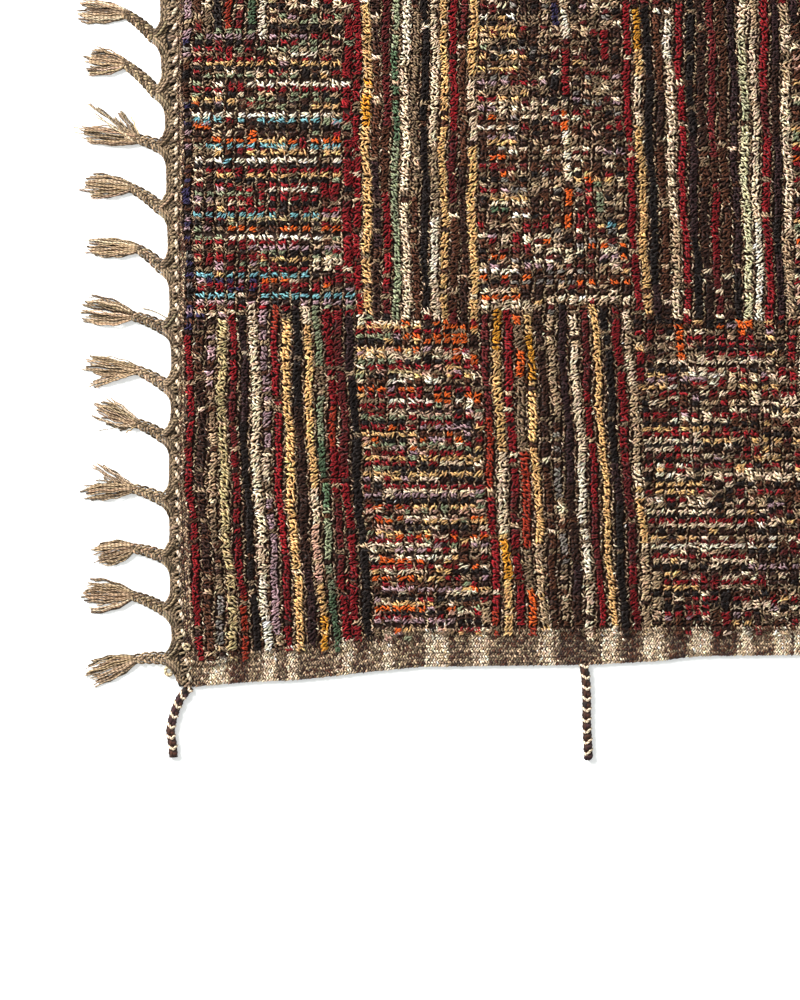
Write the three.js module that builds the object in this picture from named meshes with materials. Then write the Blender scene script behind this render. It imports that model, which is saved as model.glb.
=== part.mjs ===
// An afghan rug, hand-knotted in coarse wool and lying flat. Its knots stand in rows across the warps,
// its two long sides are woven flat, and at each end the warps are plaited into a strip and then into
// tassels. Two short plaited cords hang from one side.
//
// Millimetres, +Z up. The warps run along X and the rows of knots along Y, and the origin is under the
// middle of the rug, on the floor. The tables give the west end and the south side: the east end and
// the north side are the same shapes after half a turn about Z.
import * as THREE from "three";

// Heights above the floor.
const PILE_CREST = 12;
const PILE_VALLEY = 9.5;
const WEAVE_TOP = 5; // the flat-woven side band and end strip, beside the pile
const WEAVE_EDGE = 4; // the same cloth at its outer edge
const PLAIT_TOP = 9;
const PLAIT_HIGH_SHOULDER = 7.5;
const PLAIT_LOW_SHOULDER = 5;
const PLAIT_SWAY = 0.1; // how far its ridge sways from the middle, as a share of its width

// Sizes along the floor.
const GAP = 0.3; // between one piece and the next
const PILE_LEAN = 2; // how far the foot of the pile's rim lies outside its top
const PLAIT_STEP = 8; // half a plait crossing
const PULL = 5; // how far a tassel draws out the strip that it grows from
const PULL_REACH = 16;

// The end strip: its outer edge where no tassel draws it out, and its inner edge beside the cloth.
const END_STRIP = [
  { y: -519, outer: -612, inner: -603 },
  { y: -480, outer: -620, inner: -609 },
  { y: -417, outer: -623, inner: -614 },
  { y: -302, outer: -624, inner: -616 },
  { y: -210, outer: -621, inner: -615.5 },
  { y: -67, outer: -625.5, inner: -617 },
  { y: 50, outer: -628, inner: -617.5 },
  { y: 103, outer: -632, inner: -618 },
  { y: 168, outer: -633, inner: -619 },
  { y: 330, outer: -628, inner: -617 },
  { y: 450, outer: -624, inner: -614 },
  { y: 505, outer: -614, inner: -605 },
];

// The side band: the outer edge of the cloth and the edge of the pile.
const SIDE_BAND = [
  { x: -603, edge: -519, pile: -490 },
  { x: -543, edge: -514, pile: -482 },
  { x: -493, edge: -512, pile: -477 },
  { x: -433, edge: -505, pile: -471 },
  { x: -373, edge: -499, pile: -464 },
  { x: -293, edge: -498, pile: -464 },
  { x: -203, edge: -497, pile: -464 },
  { x: -133, edge: -493, pile: -463 },
  { x: -93, edge: -488, pile: -462 },
  { x: 7, edge: -487, pile: -462 },
  { x: 100, edge: -489, pile: -463 },
  { x: 200, edge: -494, pile: -464 },
  { x: 320, edge: -498, pile: -466 },
  { x: 450, edge: -502, pile: -470 },
  { x: 540, edge: -504, pile: -473 },
  { x: 605, edge: -505, pile: -475 },
];

// Where the rows of knots run: the edge of the pile, the three lines between the columns of blocks in
// the west half, and the middle line.
const ROW_LINES = [
  { y: -480, west: -599, second: -417, third: -300, fourth: -137, middle: 19 },
  { y: -310, west: -609, second: -430, third: -308, fourth: -148, middle: 11 },
  { y: -150, west: -612, second: -443, third: -314, fourth: -161, middle: 3 },
  { y: 0, west: -611, second: -448, third: -317, fourth: -170, middle: 0 },
  { y: 150, west: -612, second: -447, third: -316, fourth: -175, middle: -3 },
  { y: 310, west: -609, second: -446, third: -317, fourth: -176, middle: -11 },
  { y: 480, west: -602, second: -445, third: -318, fourth: -180, middle: -19 },
];
const COLUMNS = [
  { from: "west", to: "second", rows: 16 },
  { from: "second", to: "third", rows: 13 },
  { from: "third", to: "fourth", rows: 14 },
  { from: "fourth", to: "middle", rows: 16 },
];
const HALF_ROWS = COLUMNS.reduce((sum, column) => sum + column.rows, 0);
const ROWS = 2 * HALF_ROWS;

// The tassels of the west end: where each grows, the way along its plaited neck, the way from there to
// the middle of its tips, and the width over the tips.
const TASSELS = [
  { y: -491, neckX: -35, neckY: -1, tuftX: -42, tuftY: -15, spread: 24 },
  { y: -442, neckX: -35, neckY: 15, tuftX: -44, tuftY: -1, spread: 30 },
  { y: -389, neckX: -33, neckY: 9, tuftX: -34, tuftY: -8, spread: 25 },
  { y: -332, neckX: -34, neckY: 14, tuftX: -46, tuftY: 8, spread: 32 },
  { y: -269, neckX: -30, neckY: 14, tuftX: -38, tuftY: 10, spread: 27 },
  { y: -218, neckX: -30, neckY: 14, tuftX: -45, tuftY: -1, spread: 31 },
  { y: -160, neckX: -34, neckY: 17, tuftX: -46, tuftY: 2, spread: 30 },
  { y: -100, neckX: -27, neckY: 21, tuftX: -46, tuftY: 1, spread: 20 },
  { y: -40, neckX: -32, neckY: 22, tuftX: -43, tuftY: 1, spread: 24 },
  { y: 22, neckX: -24, neckY: 8, tuftX: -52, tuftY: 20, spread: 26 },
  { y: 75, neckX: -34, neckY: 31, tuftX: -35, tuftY: 2, spread: 25 },
  { y: 131, neckX: -30, neckY: 25, tuftX: -44, tuftY: 2, spread: 23 },
  { y: 190, neckX: -32, neckY: 18, tuftX: -44, tuftY: 6, spread: 26 },
  { y: 248, neckX: -33, neckY: 14, tuftX: -42, tuftY: -3, spread: 28 },
  { y: 306, neckX: -31, neckY: 20, tuftX: -45, tuftY: 3, spread: 24 },
  { y: 364, neckX: -34, neckY: 12, tuftX: -43, tuftY: 1, spread: 30 },
  { y: 420, neckX: -32, neckY: 10, tuftX: -44, tuftY: 5, spread: 26 },
  { y: 474, neckX: -30, neckY: 8, tuftX: -42, tuftY: 8, spread: 24 },
];

// A tassel's neck is a plait that tapers and then opens a little where its yarns are let loose. Its left
// side (-1) and its right side (1) stand proud by turns.
const NECK_STATIONS = [
  { along: 0, width: 14, height: 8, proud: 0 },
  { along: 0.2, width: 13, height: 8.5, proud: 1 },
  { along: 0.4, width: 12.5, height: 8.5, proud: -1 },
  { along: 0.6, width: 12, height: 8.5, proud: 1 },
  { along: 0.8, width: 10.5, height: 8, proud: -1 },
  { along: 1, width: 13, height: 7, proud: 0 },
];
const LOCKS = 8;
const LOCK_PITCH = 1.3; // between two locks where they leave the neck
// Each lock leaves the neck on a leaning arch, LOCK_ARCH high over the width that LOCK_ARCH_TURN spans.
const LOCK_ARCH = 1.2;
const LOCK_ARCH_TURN = 3;
const LOCK_ARCH_LEAN = 0.4;
// The tips are cut unevenly, by a wave over the locks and the tassels, and shorter at the two sides.
const LOCK_TRIM = 5;
const TRIM_TURN = { lock: 2.4, tassel: 1.7 };
const TRIM_SIDES = 7;
const LOCK_STATIONS = [
  { along: 0, width: 0.8, height: 2.6, bottom: 2 },
  { along: 0.35, width: 1.6, height: 3, bottom: 0 },
  { along: 0.85, width: 2.5, height: 2.6, bottom: 0 },
];

// The two side cords: each leaves the edge of the side band and lies on the floor.
const CORD_WIDTH = 9.5;
const CORD_HEIGHT = 7.5;
const CORD_STEP = 4.5; // half a plait crossing
const CORD_ROUTES = {
  cord_corner: [
    { x: -603, y: -519 },
    { x: -612, y: -529 },
    { x: -618, y: -542 },
    { x: -621, y: -552 },
    { x: -623, y: -564 },
    { x: -621, y: -577 },
    { x: -620, y: -590 },
  ],
  cord_side: [
    { x: -209, y: -497 },
    { x: -207, y: -512 },
    { x: -206, y: -532 },
    { x: -206, y: -552 },
    { x: -205, y: -572 },
    { x: -204, y: -590 },
  ],
};

// Sections of a plait, across (a share of its width) and up (a share of its height), with a flat foot.
const PLAIT_SECTION = [
  { across: -0.4, up: 0 },
  { across: 0.4, up: 0 },
  { across: 0.5, up: 0.45 },
  { across: 0.25, up: 1 },
  { across: -0.25, up: 1 },
  { across: -0.5, up: 0.45 },
];
const CORD_SECTION = [
  { across: -0.3, up: 0 },
  { across: 0.3, up: 0 },
  { across: 0.5, up: 0.3 },
  { across: 0.5, up: 0.65 },
  { across: 0.2, up: 1 },
  { across: -0.2, up: 1 },
  { across: -0.5, up: 0.65 },
  { across: -0.5, up: 0.3 },
];
const LUMP = 0.14; // how much the proud side of a plait swells, as a share

const mix = (a, b, t) => a + (b - a) * t;

// Reads one column of a table at a place in its first column, on a straight line between two rows.
function read(table, key, place, column) {
  let i = 0;
  while (i < table.length - 2 && table[i + 1][key] < place) i++;
  const [a, b] = [table[i], table[i + 1]];
  return mix(a[column], b[column], (place - a[key]) / (b[key] - a[key]));
}

const southEdge = (x) => read(SIDE_BAND, "x", x, "edge");
const southPile = (x) => read(SIDE_BAND, "x", x, "pile");
const westCloth = (y) => read(END_STRIP, "y", y, "inner") + GAP;

// The line between two rows of knots, counted from the west, or a row's own line at a half count.
function rowLine(count, y) {
  if (count > HALF_ROWS) return -rowLine(ROWS - count, -y);
  let first = 0;
  for (const column of COLUMNS) {
    if (count <= first + column.rows) {
      const west = read(ROW_LINES, "y", y, column.from);
      const east = read(ROW_LINES, "y", y, column.to);
      return mix(west, east, (count - first) / column.rows);
    }
    first += column.rows;
  }
}

// Where a row of knots starts at the south edge of the pile.
function southStart(count) {
  const y = southPile(rowLine(count, ROW_LINES[0].y));
  return { x: rowLine(count, y), y };
}
function northStart(count) {
  const turned = southStart(ROWS - count);
  return { x: -turned.x, y: -turned.y };
}

// Points and faces of one closed body.
class Skin {
  points = [];
  faces = [];

  point(x, y, z) {
    this.points.push(x, y, z);
    return this.points.length / 3 - 1;
  }

  line(places) {
    return places.map((p) => this.point(p.x, p.y, p.z));
  }

  // Faces between two lines that run the same way, seen from outside with the first on the right.
  stitch(right, left) {
    let i = 0;
    let j = 0;
    const [ends, starts] = [right.length - 1, left.length - 1];
    while (i < ends || j < starts) {
      if (j === starts || (i < ends && (i + 1) * starts <= (j + 1) * ends)) {
        this.faces.push(right[i], right[i + 1], left[j]);
        i++;
      } else {
        this.faces.push(right[i], left[j + 1], left[j]);
        j++;
      }
    }
  }

  // Faces between closed rings of the same count, and a flat cap on each end that is asked for.
  sleeve(rings, capFirst, capLast) {
    const closed = (ring) => [...ring, ring[0]];
    for (let r = 1; r < rings.length; r++) {
      this.stitch(closed(rings[r - 1]), closed(rings[r]));
    }
    if (capFirst) this.fan(rings[0].slice().reverse());
    if (capLast) this.fan(rings.at(-1));
  }

  fan(ring) {
    for (let k = 2; k < ring.length; k++) this.faces.push(ring[0], ring[k - 1], ring[k]);
  }

  geometry() {
    const made = new THREE.BufferGeometry();
    made.setAttribute("position", new THREE.Float32BufferAttribute(this.points, 3));
    made.setIndex(this.faces);
    made.computeVertexNormals();
    return made;
  }
}

// The cloth: ribs of pile inside a low rim of flat weave, with a flat underside.
function clothGeometry() {
  const skin = new Skin();
  const crestAt = (half) => (half % 2 ? PILE_CREST : PILE_VALLEY);
  const halves = Array.from({ length: 2 * ROWS + 1 }, (_, half) => half);
  const pilePoint = (half, place) => ({ ...place, z: crestAt(half) });
  const pileLines = [
    skin.line(halves.map((half) => pilePoint(half, southStart(half / 2)))),
    ...ROW_LINES.slice(1, -1).map(({ y }) =>
      skin.line(halves.map((half) => pilePoint(half, { x: rowLine(half / 2, y), y }))),
    ),
    skin.line(halves.map((half) => pilePoint(half, northStart(half / 2)))),
  ];
  for (let j = 1; j < pileLines.length; j++) skin.stitch(pileLines[j - 1], pileLines[j]);

  // The four sides, each counter-clockwise: the pile's rim, its foot, and the edge of the cloth.
  const halfTurn = (places) => places.map((p) => ({ ...p, x: -p.x, y: -p.y }));
  const southWest = southStart(0);
  const [west, east] = [SIDE_BAND[0].x, SIDE_BAND.at(-1).x];
  const southOuter = SIDE_BAND.map(({ x, edge }) => ({ x, y: edge, z: WEAVE_EDGE }));
  const southFoot = SIDE_BAND.map(({ x }) => {
    const start = southStart((ROWS * (x - west)) / (east - west));
    return { x: start.x, y: start.y - PILE_LEAN, z: WEAVE_TOP };
  });
  southFoot[0].x -= PILE_LEAN;
  southFoot.at(-1).x += PILE_LEAN;
  const northWest = halfTurn([southFoot.at(-1)])[0];
  const ends = END_STRIP.slice(1, -1).reverse();
  const westOuter = ends.map(({ y }) => ({ x: westCloth(y), y, z: WEAVE_EDGE }));
  const westFoot = ends.map((_, k) => {
    const y = mix(northWest.y, southWest.y - PILE_LEAN, (k + 1) / (ends.length + 1));
    return { x: rowLine(0, y) - PILE_LEAN, y, z: WEAVE_TOP };
  });
  const loop = (south, westSide) => {
    const southSide = skin.line(south);
    const northSide = skin.line(halfTurn(south));
    const westLine = skin.line(westSide);
    const eastLine = skin.line(halfTurn(westSide));
    return [
      southSide,
      [southSide.at(-1), ...eastLine, northSide[0]],
      northSide,
      [northSide.at(-1), ...westLine, southSide[0]],
    ];
  };
  const down = (places) => places.map((p) => ({ ...p, z: 0 }));
  const rim = [
    pileLines[0],
    pileLines.map((line) => line.at(-1)),
    pileLines.at(-1).slice().reverse(),
    pileLines.map((line) => line[0]).reverse(),
  ];
  const foot = loop(southFoot, westFoot);
  const edge = loop(southOuter, westOuter);
  const floor = loop(down(southOuter), down(westOuter));
  for (let side = 0; side < rim.length; side++) {
    skin.stitch(foot[side], rim[side]);
    skin.stitch(edge[side], foot[side]);
    skin.stitch(floor[side], edge[side]);
  }
  const underside = floor.flatMap((side) => side.slice(1));
  const flat = underside.map((i) => new THREE.Vector2(skin.points[3 * i], skin.points[3 * i + 1]));
  for (const [a, b, c] of THREE.ShapeUtils.triangulateShape(flat, [])) {
    skin.faces.push(underside[a], underside[c], underside[b]);
  }
  return skin.geometry();
}

// The end strip's own outline, from the plain one and the pull of each tassel.
const stripLength = END_STRIP.at(-1).y - END_STRIP[0].y;
const STRIP_STATIONS = Array.from({ length: Math.round(stripLength / PLAIT_STEP) + 1 }, (_, k) => {
  const y = END_STRIP[0].y + k * PLAIT_STEP;
  const drawn = TASSELS.map((tassel) => Math.exp(-(((y - tassel.y) / PULL_REACH) ** 2)));
  return {
    y,
    outer: read(END_STRIP, "y", y, "outer") - PULL * Math.max(...drawn),
    inner: read(END_STRIP, "y", y, "inner"),
  };
});

// The plaited strip: its two shoulders stand high by turns, as the bundles of warp cross.
function stripGeometry() {
  const skin = new Skin();
  const rings = STRIP_STATIONS.map(({ y, outer, inner }, k) => {
    const [outerTop, innerTop] =
      k % 2 ? [PLAIT_HIGH_SHOULDER, PLAIT_LOW_SHOULDER] : [PLAIT_LOW_SHOULDER, PLAIT_HIGH_SHOULDER];
    return skin.line([
      { x: outer, y, z: 0 },
      { x: outer, y, z: outerTop },
      { x: mix(outer, inner, 0.5 + (k % 2 ? -PLAIT_SWAY : PLAIT_SWAY)), y, z: PLAIT_TOP },
      { x: inner, y, z: innerTop },
      { x: inner, y, z: 0 },
    ]);
  });
  skin.sleeve(rings, true, true);
  return skin.geometry();
}

// The places of one plait section: its centre on the floor, the unit way across it, and its size.
function sectionPlaces(section, centre, across, { width, height, proud }) {
  return section.map((corner) => {
    const swell = 1 + LUMP * Math.sign(corner.across) * proud;
    const out = corner.across * width * swell;
    return {
      x: centre.x + across.x * out,
      y: centre.y + across.y * out,
      z: corner.up * height * (corner.up === 1 ? swell : 1),
    };
  });
}

// A tassel: the plaited neck, and the locks that fan out of its end face onto the floor.
function tasselGeometry(row, number) {
  const skin = new Skin();
  const besides = STRIP_STATIONS.filter(({ y }) => Math.abs(y - row.y) < NECK_STATIONS[0].width);
  const root = new THREE.Vector2(Math.min(...besides.map(({ outer }) => outer)) - GAP, row.y);
  const neck = new THREE.Vector2(row.neckX, row.neckY);
  const tuft = new THREE.Vector2(row.tuftX, row.tuftY);
  const opening = neck.clone().normalize().add(tuft.clone().normalize()).normalize();
  const rings = NECK_STATIONS.map((station) => {
    const centre = root.clone().addScaledVector(neck, station.along);
    const way = station.along === 1 ? opening : neck.clone().normalize();
    const across = station.along === 0 ? { x: 0, y: -1 } : { x: -way.y, y: way.x };
    return sectionPlaces(PLAIT_SECTION, centre, across, station);
  });

  // The end face is cut open at the root of each lock.
  const centre = root.clone().add(neck);
  const across = { x: -opening.y, y: opening.x };
  const locks = Array.from({ length: LOCKS }, (_, k) => {
    const share = k / (LOCKS - 1) - 0.5;
    const rise = LOCK_ARCH * Math.cos(LOCK_ARCH_TURN * share + LOCK_ARCH_LEAN);
    return { share, rise, at: share * (LOCKS - 1) * LOCK_PITCH };
  });
  const lockSection = ({ width, height, bottom }) => [
    { out: -width / 2, z: bottom },
    { out: width / 2, z: bottom },
    { out: 0, z: bottom + height },
  ];
  const flat = sectionPlaces(PLAIT_SECTION, { x: 0, y: 0 }, { x: 1, y: 0 }, NECK_STATIONS.at(-1));
  const face = flat.map((p) => new THREE.Vector2(p.x, p.z));
  const holes = locks.map(({ at, rise }) =>
    lockSection(LOCK_STATIONS[0]).map((p) => new THREE.Vector2(at + p.out, p.z + rise)).reverse(),
  );
  const inFace = (p) => ({ x: centre.x + across.x * p.x, y: centre.y + across.y * p.x, z: p.y });
  const neckRings = rings.map((places) => skin.line(places));
  skin.sleeve(neckRings, true, false);
  const holeRings = holes.map((hole) => skin.line(hole.map(inFace)));
  const faceIndex = [...neckRings.at(-1), ...holeRings.flat()];
  for (const [a, b, c] of THREE.ShapeUtils.triangulateShape(face, holes)) {
    skin.faces.push(faceIndex[a], faceIndex[b], faceIndex[c]);
  }

  locks.forEach(({ share, at }, k) => {
    const from = new THREE.Vector2(centre.x + across.x * at, centre.y + across.y * at);
    const way = tuft.clone().normalize();
    const wave = Math.sin(TRIM_TURN.lock * k + TRIM_TURN.tassel * number);
    const trim = LOCK_TRIM * wave - TRIM_SIDES * share ** 2;
    const tip = centre.clone().add(tuft).addScaledVector(way, trim);
    tip.x -= way.y * row.spread * share;
    tip.y += way.x * row.spread * share;
    const lockWay = tip.clone().sub(from).normalize();
    const lockAcross = { x: -lockWay.y, y: lockWay.x };
    const later = LOCK_STATIONS.slice(1).map((station) => {
      const middle = from.clone().lerp(tip, station.along);
      return skin.line(
        lockSection(station).map((p) => ({
          x: middle.x + lockAcross.x * p.out,
          y: middle.y + lockAcross.y * p.out,
          z: p.z,
        })),
      );
    });
    skin.sleeve([holeRings[k].slice().reverse(), ...later], false, false);
    const point = skin.point(tip.x, tip.y, 0);
    const last = later.at(-1);
    last.forEach((corner, m) => skin.faces.push(corner, last[(m + 1) % last.length], point));
  });
  return skin.geometry();
}

// A side cord: a plait along its route, whose first section lies against the edge of the cloth.
function cordGeometry(route) {
  const skin = new Skin();
  const curve = new THREE.CatmullRomCurve3(route.map(({ x, y }) => new THREE.Vector3(x, y, 0)));
  const steps = Math.round(curve.getLength() / CORD_STEP);
  const rings = Array.from({ length: steps + 1 }, (_, k) => {
    const centre = curve.getPointAt(k / steps);
    const way = curve.getTangentAt(k / steps);
    const across = k === 0 ? { x: 1, y: 0 } : { x: -way.y, y: way.x };
    const size = { width: CORD_WIDTH, height: CORD_HEIGHT, proud: k % 2 ? 1 : -1 };
    const places = sectionPlaces(CORD_SECTION, centre, across, size);
    for (const place of places) place.y = Math.min(place.y, southEdge(place.x) - GAP);
    return skin.line(places);
  });
  skin.sleeve(rings, true, true);
  return skin.geometry();
}

const PILE_WOOL = { color: 0x5b3a30, roughness: 0.95, metalness: 0 };
const WARP_WOOL = { color: 0x9a8a74, roughness: 0.95, metalness: 0 };
const CORD_WOOL = { color: 0x2a1f1b, roughness: 0.95, metalness: 0 };

function piece(name, geometry, wool, turned) {
  const mesh = new THREE.Mesh(geometry, new THREE.MeshStandardMaterial(wool));
  mesh.name = name;
  if (turned) mesh.rotation.z = Math.PI;
  return mesh;
}

const rug = new THREE.Group();
rug.add(piece("rug_cloth", clothGeometry(), PILE_WOOL));
for (const [end, turned] of [["west", false], ["east", true]]) {
  rug.add(piece("end_plait_" + end, stripGeometry(), WARP_WOOL, turned));
  TASSELS.forEach((row, k) => {
    const name = "tassel_" + end + "_" + String(k + 1).padStart(2, "0");
    rug.add(piece(name, tasselGeometry(row, k), WARP_WOOL, turned));
  });
}
for (const [name, route] of Object.entries(CORD_ROUTES)) {
  rug.add(piece(name, cordGeometry(route), CORD_WOOL));
}

export default rug;
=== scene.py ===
# %% [markdown]
# # An afghan rug, dressed in wool
#
# The rug lies flat on a pale floor and is seen from straight above, at one corner. On a real one a
# knotter ties short ends of yarn in rows across the warps, weaves two flat bands along the long sides,
# and at the end plaits the warps into a strip and into tassels. This script makes those pieces as yarn,
# each over the plain solid that stands for it. It starts by loading these solids.

# %% Load the solids
import math

import bpy
import numpy as np
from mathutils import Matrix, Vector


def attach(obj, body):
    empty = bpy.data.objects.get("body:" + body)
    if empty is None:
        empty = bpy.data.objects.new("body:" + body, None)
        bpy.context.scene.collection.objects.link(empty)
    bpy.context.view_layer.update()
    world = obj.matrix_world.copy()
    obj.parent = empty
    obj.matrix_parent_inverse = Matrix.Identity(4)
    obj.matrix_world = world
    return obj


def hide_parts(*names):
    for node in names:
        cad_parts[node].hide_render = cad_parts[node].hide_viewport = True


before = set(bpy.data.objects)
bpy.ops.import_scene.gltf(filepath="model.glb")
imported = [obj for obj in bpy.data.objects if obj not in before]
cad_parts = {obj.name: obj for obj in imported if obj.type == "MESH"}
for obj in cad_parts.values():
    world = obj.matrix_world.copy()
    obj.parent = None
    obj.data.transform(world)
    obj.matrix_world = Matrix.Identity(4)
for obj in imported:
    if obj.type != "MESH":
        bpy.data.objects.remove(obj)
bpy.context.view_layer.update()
bpy.ops.object.select_all(action="DESELECT")

# %% [markdown]
# ## Camera
#
# The photograph was taken from high above, so a long lens looks straight down and shows hardly any
# perspective. One pixel of the photograph is one millimetre of rug. Its column 793 and its row 168 meet
# over the middle of the rug, which is the origin.

# %% The photograph's frame and the camera
MM = 0.001
PHOTO_COLUMNS = 800
PHOTO_ROWS = 1000
COLUMN_AT_ORIGIN = 793
ROW_AT_ORIGIN = 168
LENS = 150  # millimetres, on a sensor whose long side is 36
SENSOR = 36
PILE_CREST = 12  # millimetres over the floor

middle_x = (PHOTO_COLUMNS / 2 - COLUMN_AT_ORIGIN) * MM
middle_y = (ROW_AT_ORIGIN - PHOTO_ROWS / 2) * MM
camera_height = PHOTO_ROWS * MM * LENS / SENSOR + PILE_CREST * MM
bpy.ops.object.camera_add(location=(middle_x, middle_y, camera_height), rotation=(0, 0, 0))
camera = bpy.context.object
camera.data.lens = LENS
camera.data.sensor_width = SENSOR
camera.data.clip_end = 100
bpy.context.scene.camera = camera
bpy.context.scene.view_settings.view_transform = "Standard"
print("the camera is", round(camera_height, 3), "m above the floor")

# %% [markdown]
# ## Tables of the rug's sizes
#
# The rug is uneven, as handwork is. Short tables hold where its edges and its rows of knots run, in
# millimetres: the west end and the south side, nearly as the part's own source has them. The east end
# and the north side are the same after half a turn. A table is written as text, row by row, and becomes
# a dictionary of named columns.

# %% Reading a table
def table(names, text):
    """A short table, written as text, as a dictionary of its named columns."""
    keys = names.split()
    cells = np.array(text.replace(",", " ").split()).reshape(-1, len(keys))
    columns = (cell if cell[0][0].isalpha() else cell.astype(float) for cell in cells.T)
    return dict(zip(keys, columns))


def read(rows, key, place, column):
    """One column of a table at a place in its key column, on a straight line between two rows."""
    keys, values = rows[key], rows[column]
    i = np.clip(np.searchsorted(keys, place) - 1, 0, len(keys) - 2)
    share = (place - keys[i]) / (keys[i + 1] - keys[i])
    return values[i] + share * (values[i + 1] - values[i])


def mix(a, b, share):
    return a + (b - a) * share


# %% The edges of the cloth and of its pile
END_STRIP = table("y outer inner", """
-519 -615.3 -603
-505 -619.8 -605
-480 -622.3 -609
-417 -624.3 -614
-302 -625.3 -616
-210 -622.3 -615.5
-67 -626.8 -617
50 -629.3 -617.5
103 -633.3 -618
168 -634.3 -619
330 -629.3 -617
450 -625.3 -614
505 -615.3 -605
""")
SIDE_BAND = table("x edge pile", """
-603 -519 -496
-583 -517.3 -497
-543 -514 -487
-493 -512 -480
-433 -505 -473
-373 -499 -464
-293 -498 -464
-203 -497 -464
-133 -493 -463
-93 -488 -462
7 -487 -462
100 -489 -463
200 -494 -464
320 -498 -466
450 -502 -470
540 -504 -473
605 -505 -475
""")
ROW_LINES = table("y west second third fourth middle", """
-480 -599 -417 -300 -137 19
-310 -609 -430 -308 -148 11
-150 -609 -439 -314 -160 3
0 -611 -441 -316 -168 0
150 -612 -440 -315 -173 -3
310 -609 -446 -317 -176 -11
480 -602 -445 -318 -180 -19
""")

# %% [markdown]
# ### Lines over the rug
#
# A few functions read these tables. One of them says where the line between any two rows of knots is,
# counted from the west end, and another lets it wander as it does on the loom.

# %% Lines over the rug
FENCES = ["west", "second", "third", "fourth", "middle"]
HALF_COLUMNS = [16, 13, 14, 16]  # rows of knots in each column of blocks, from the west to the middle
COLUMN_ROWS = HALF_COLUMNS + HALF_COLUMNS[::-1]
FENCE_COUNTS = np.cumsum([0] + COLUMN_ROWS)
ROWS = int(FENCE_COUNTS[-1])
GAP = 0.3  # between one piece and the next


def row_line(count, y):
    """x of the line between two rows of knots, counted from the west, or of a row at a half count."""
    count, y = np.broadcast_arrays(np.asarray(count, float), np.asarray(y, float))
    west = [read(ROW_LINES, "y", y, name) for name in FENCES]
    east = [-read(ROW_LINES, "y", -y, name) for name in FENCES[-2::-1]]
    fences = np.stack(west + east)
    column = np.clip(np.searchsorted(FENCE_COUNTS, count, side="right") - 1, 0, len(COLUMN_ROWS) - 1)
    share = (count - FENCE_COUNTS[column]) / np.diff(FENCE_COUNTS)[column]
    before = np.take_along_axis(fences, column[None], 0)[0]
    after = np.take_along_axis(fences, column[None] + 1, 0)[0]
    return mix(before, after, share)


# Two waves, one long and one short: how far they swing, how long they are, the shift of the next row.
WAVES_OF_ROWS = table("swing long shift", "1.3 21 0.9, 0.7 8 2.3")


def wandering(count, y):
    """The same line as a knotter ties it, never quite straight."""
    x = row_line(count, y)
    for swing, long, shift in zip(*WAVES_OF_ROWS.values()):
        x = x + swing * np.sin(y / long + shift * count)
    return x


def south_edge(x):
    return read(SIDE_BAND, "x", x, "edge")


def south_pile(x):
    return read(SIDE_BAND, "x", x, "pile")


def strip_inner(y):
    return read(END_STRIP, "y", y, "inner")


def west_cloth(y):
    return strip_inner(y) + GAP


print("rows of knots:", ROWS, "and the pile is", row_line(ROWS, 0) - row_line(0, 0), "mm long")

# %% [markdown]
# ## Wool colours
#
# All of it is wool: undyed fleece in cream, greige, brown and near black, and vegetable-dyed reds,
# oranges, golds, greens, a little indigo and one sky blue. Each is an sRGB colour, which one
# function turns linear. No two ends of hand-spun yarn are quite alike, so a second function makes
# colours uneven.

# %% Named wools
def linear(hex_colour):
    """An sRGB hex colour as linear red, green and blue."""
    shares = np.array([int(hex_colour[i : i + 2], 16) for i in (0, 2, 4)]) / 255
    return np.where(shares > 0.04045, ((shares + 0.055) / 1.055) ** 2.4, shares / 12.92)


WOOLS = {
    "red": "84151a",
    "dark_red": "621e1d",
    "rust": "8e2c16",
    "orange": "cc5a1c",
    "amber": "d0922e",
    "gold": "d8ae74",
    "yellow": "b8a478",
    "peach": "caa08a",
    "cream": "e6ceb0",
    "white": "f4e5cd",
    "beige": "ba9f7f",
    "tan": "806a52",
    "brown": "54301e",
    "dark_brown": "392016",
    "purple_black": "331d1d",
    "black": "1e1512",
    "grey": "807870",
    "sage": "c2bc98",
    "grey_green": "888e70",
    "green": "54684c",
    "mauve": "a6888c",
    "pink": "a88888",
    "indigo": "342c4c",
    "cyan": "70a4aa",
}
WOOL_NAMES = list(WOOLS)
WOOL_COLOURS = np.array([linear(WOOLS[name]) for name in WOOL_NAMES])


def wool(name):
    return WOOL_NAMES.index(name)


def wools_of(names):
    """A list of wools written as words, such as "brown*3 cream", where a number says how many."""
    found = []
    for word in names.split():
        plain, _, times = word.partition("*")
        found += [wool(plain)] * int(times or 1)
    return np.array(found)


def uneven(rng, colours, light, hue):
    """Colours made a little lighter or darker, and a little off in hue, each by itself."""
    lighter = np.exp(rng.normal(0, light, (len(colours), 1)))
    off = 1 + rng.normal(0, hue, colours.shape)
    return np.clip(colours * lighter * off, 0.002, 0.95)


print("wools:", len(WOOLS))

# %% [markdown]
# ## Materials
#
# Wool scatters light in its fibres and hardly shines, so it is rough with a little sheen. Its colour is
# an attribute that each piece carries at its points, with painted shade at the feet of the locks and
# strokes, and fine noise, at the size of a lock of fibres, makes it uneven. Spun yarn also shows its
# plies, two strands that turn round each other: they follow the yarn by its own UV map, which counts
# the turns, and painted shade darkens the lines where they meet.

# %% A function that adds a node
def add_node(material, kind, settings=(), links=()):
    """Adds one node, sets its values and inputs by name or number, and joins sockets to its inputs."""
    node = material.node_tree.nodes.new("ShaderNode" + kind)
    for name, value in dict(settings).items():
        if isinstance(name, str) and hasattr(node, name):
            setattr(node, name, value)
        else:
            node.inputs[name].default_value = value
    for name, socket in dict(links).items():
        material.node_tree.links.new(socket, node.inputs[name])
    return node


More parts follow.
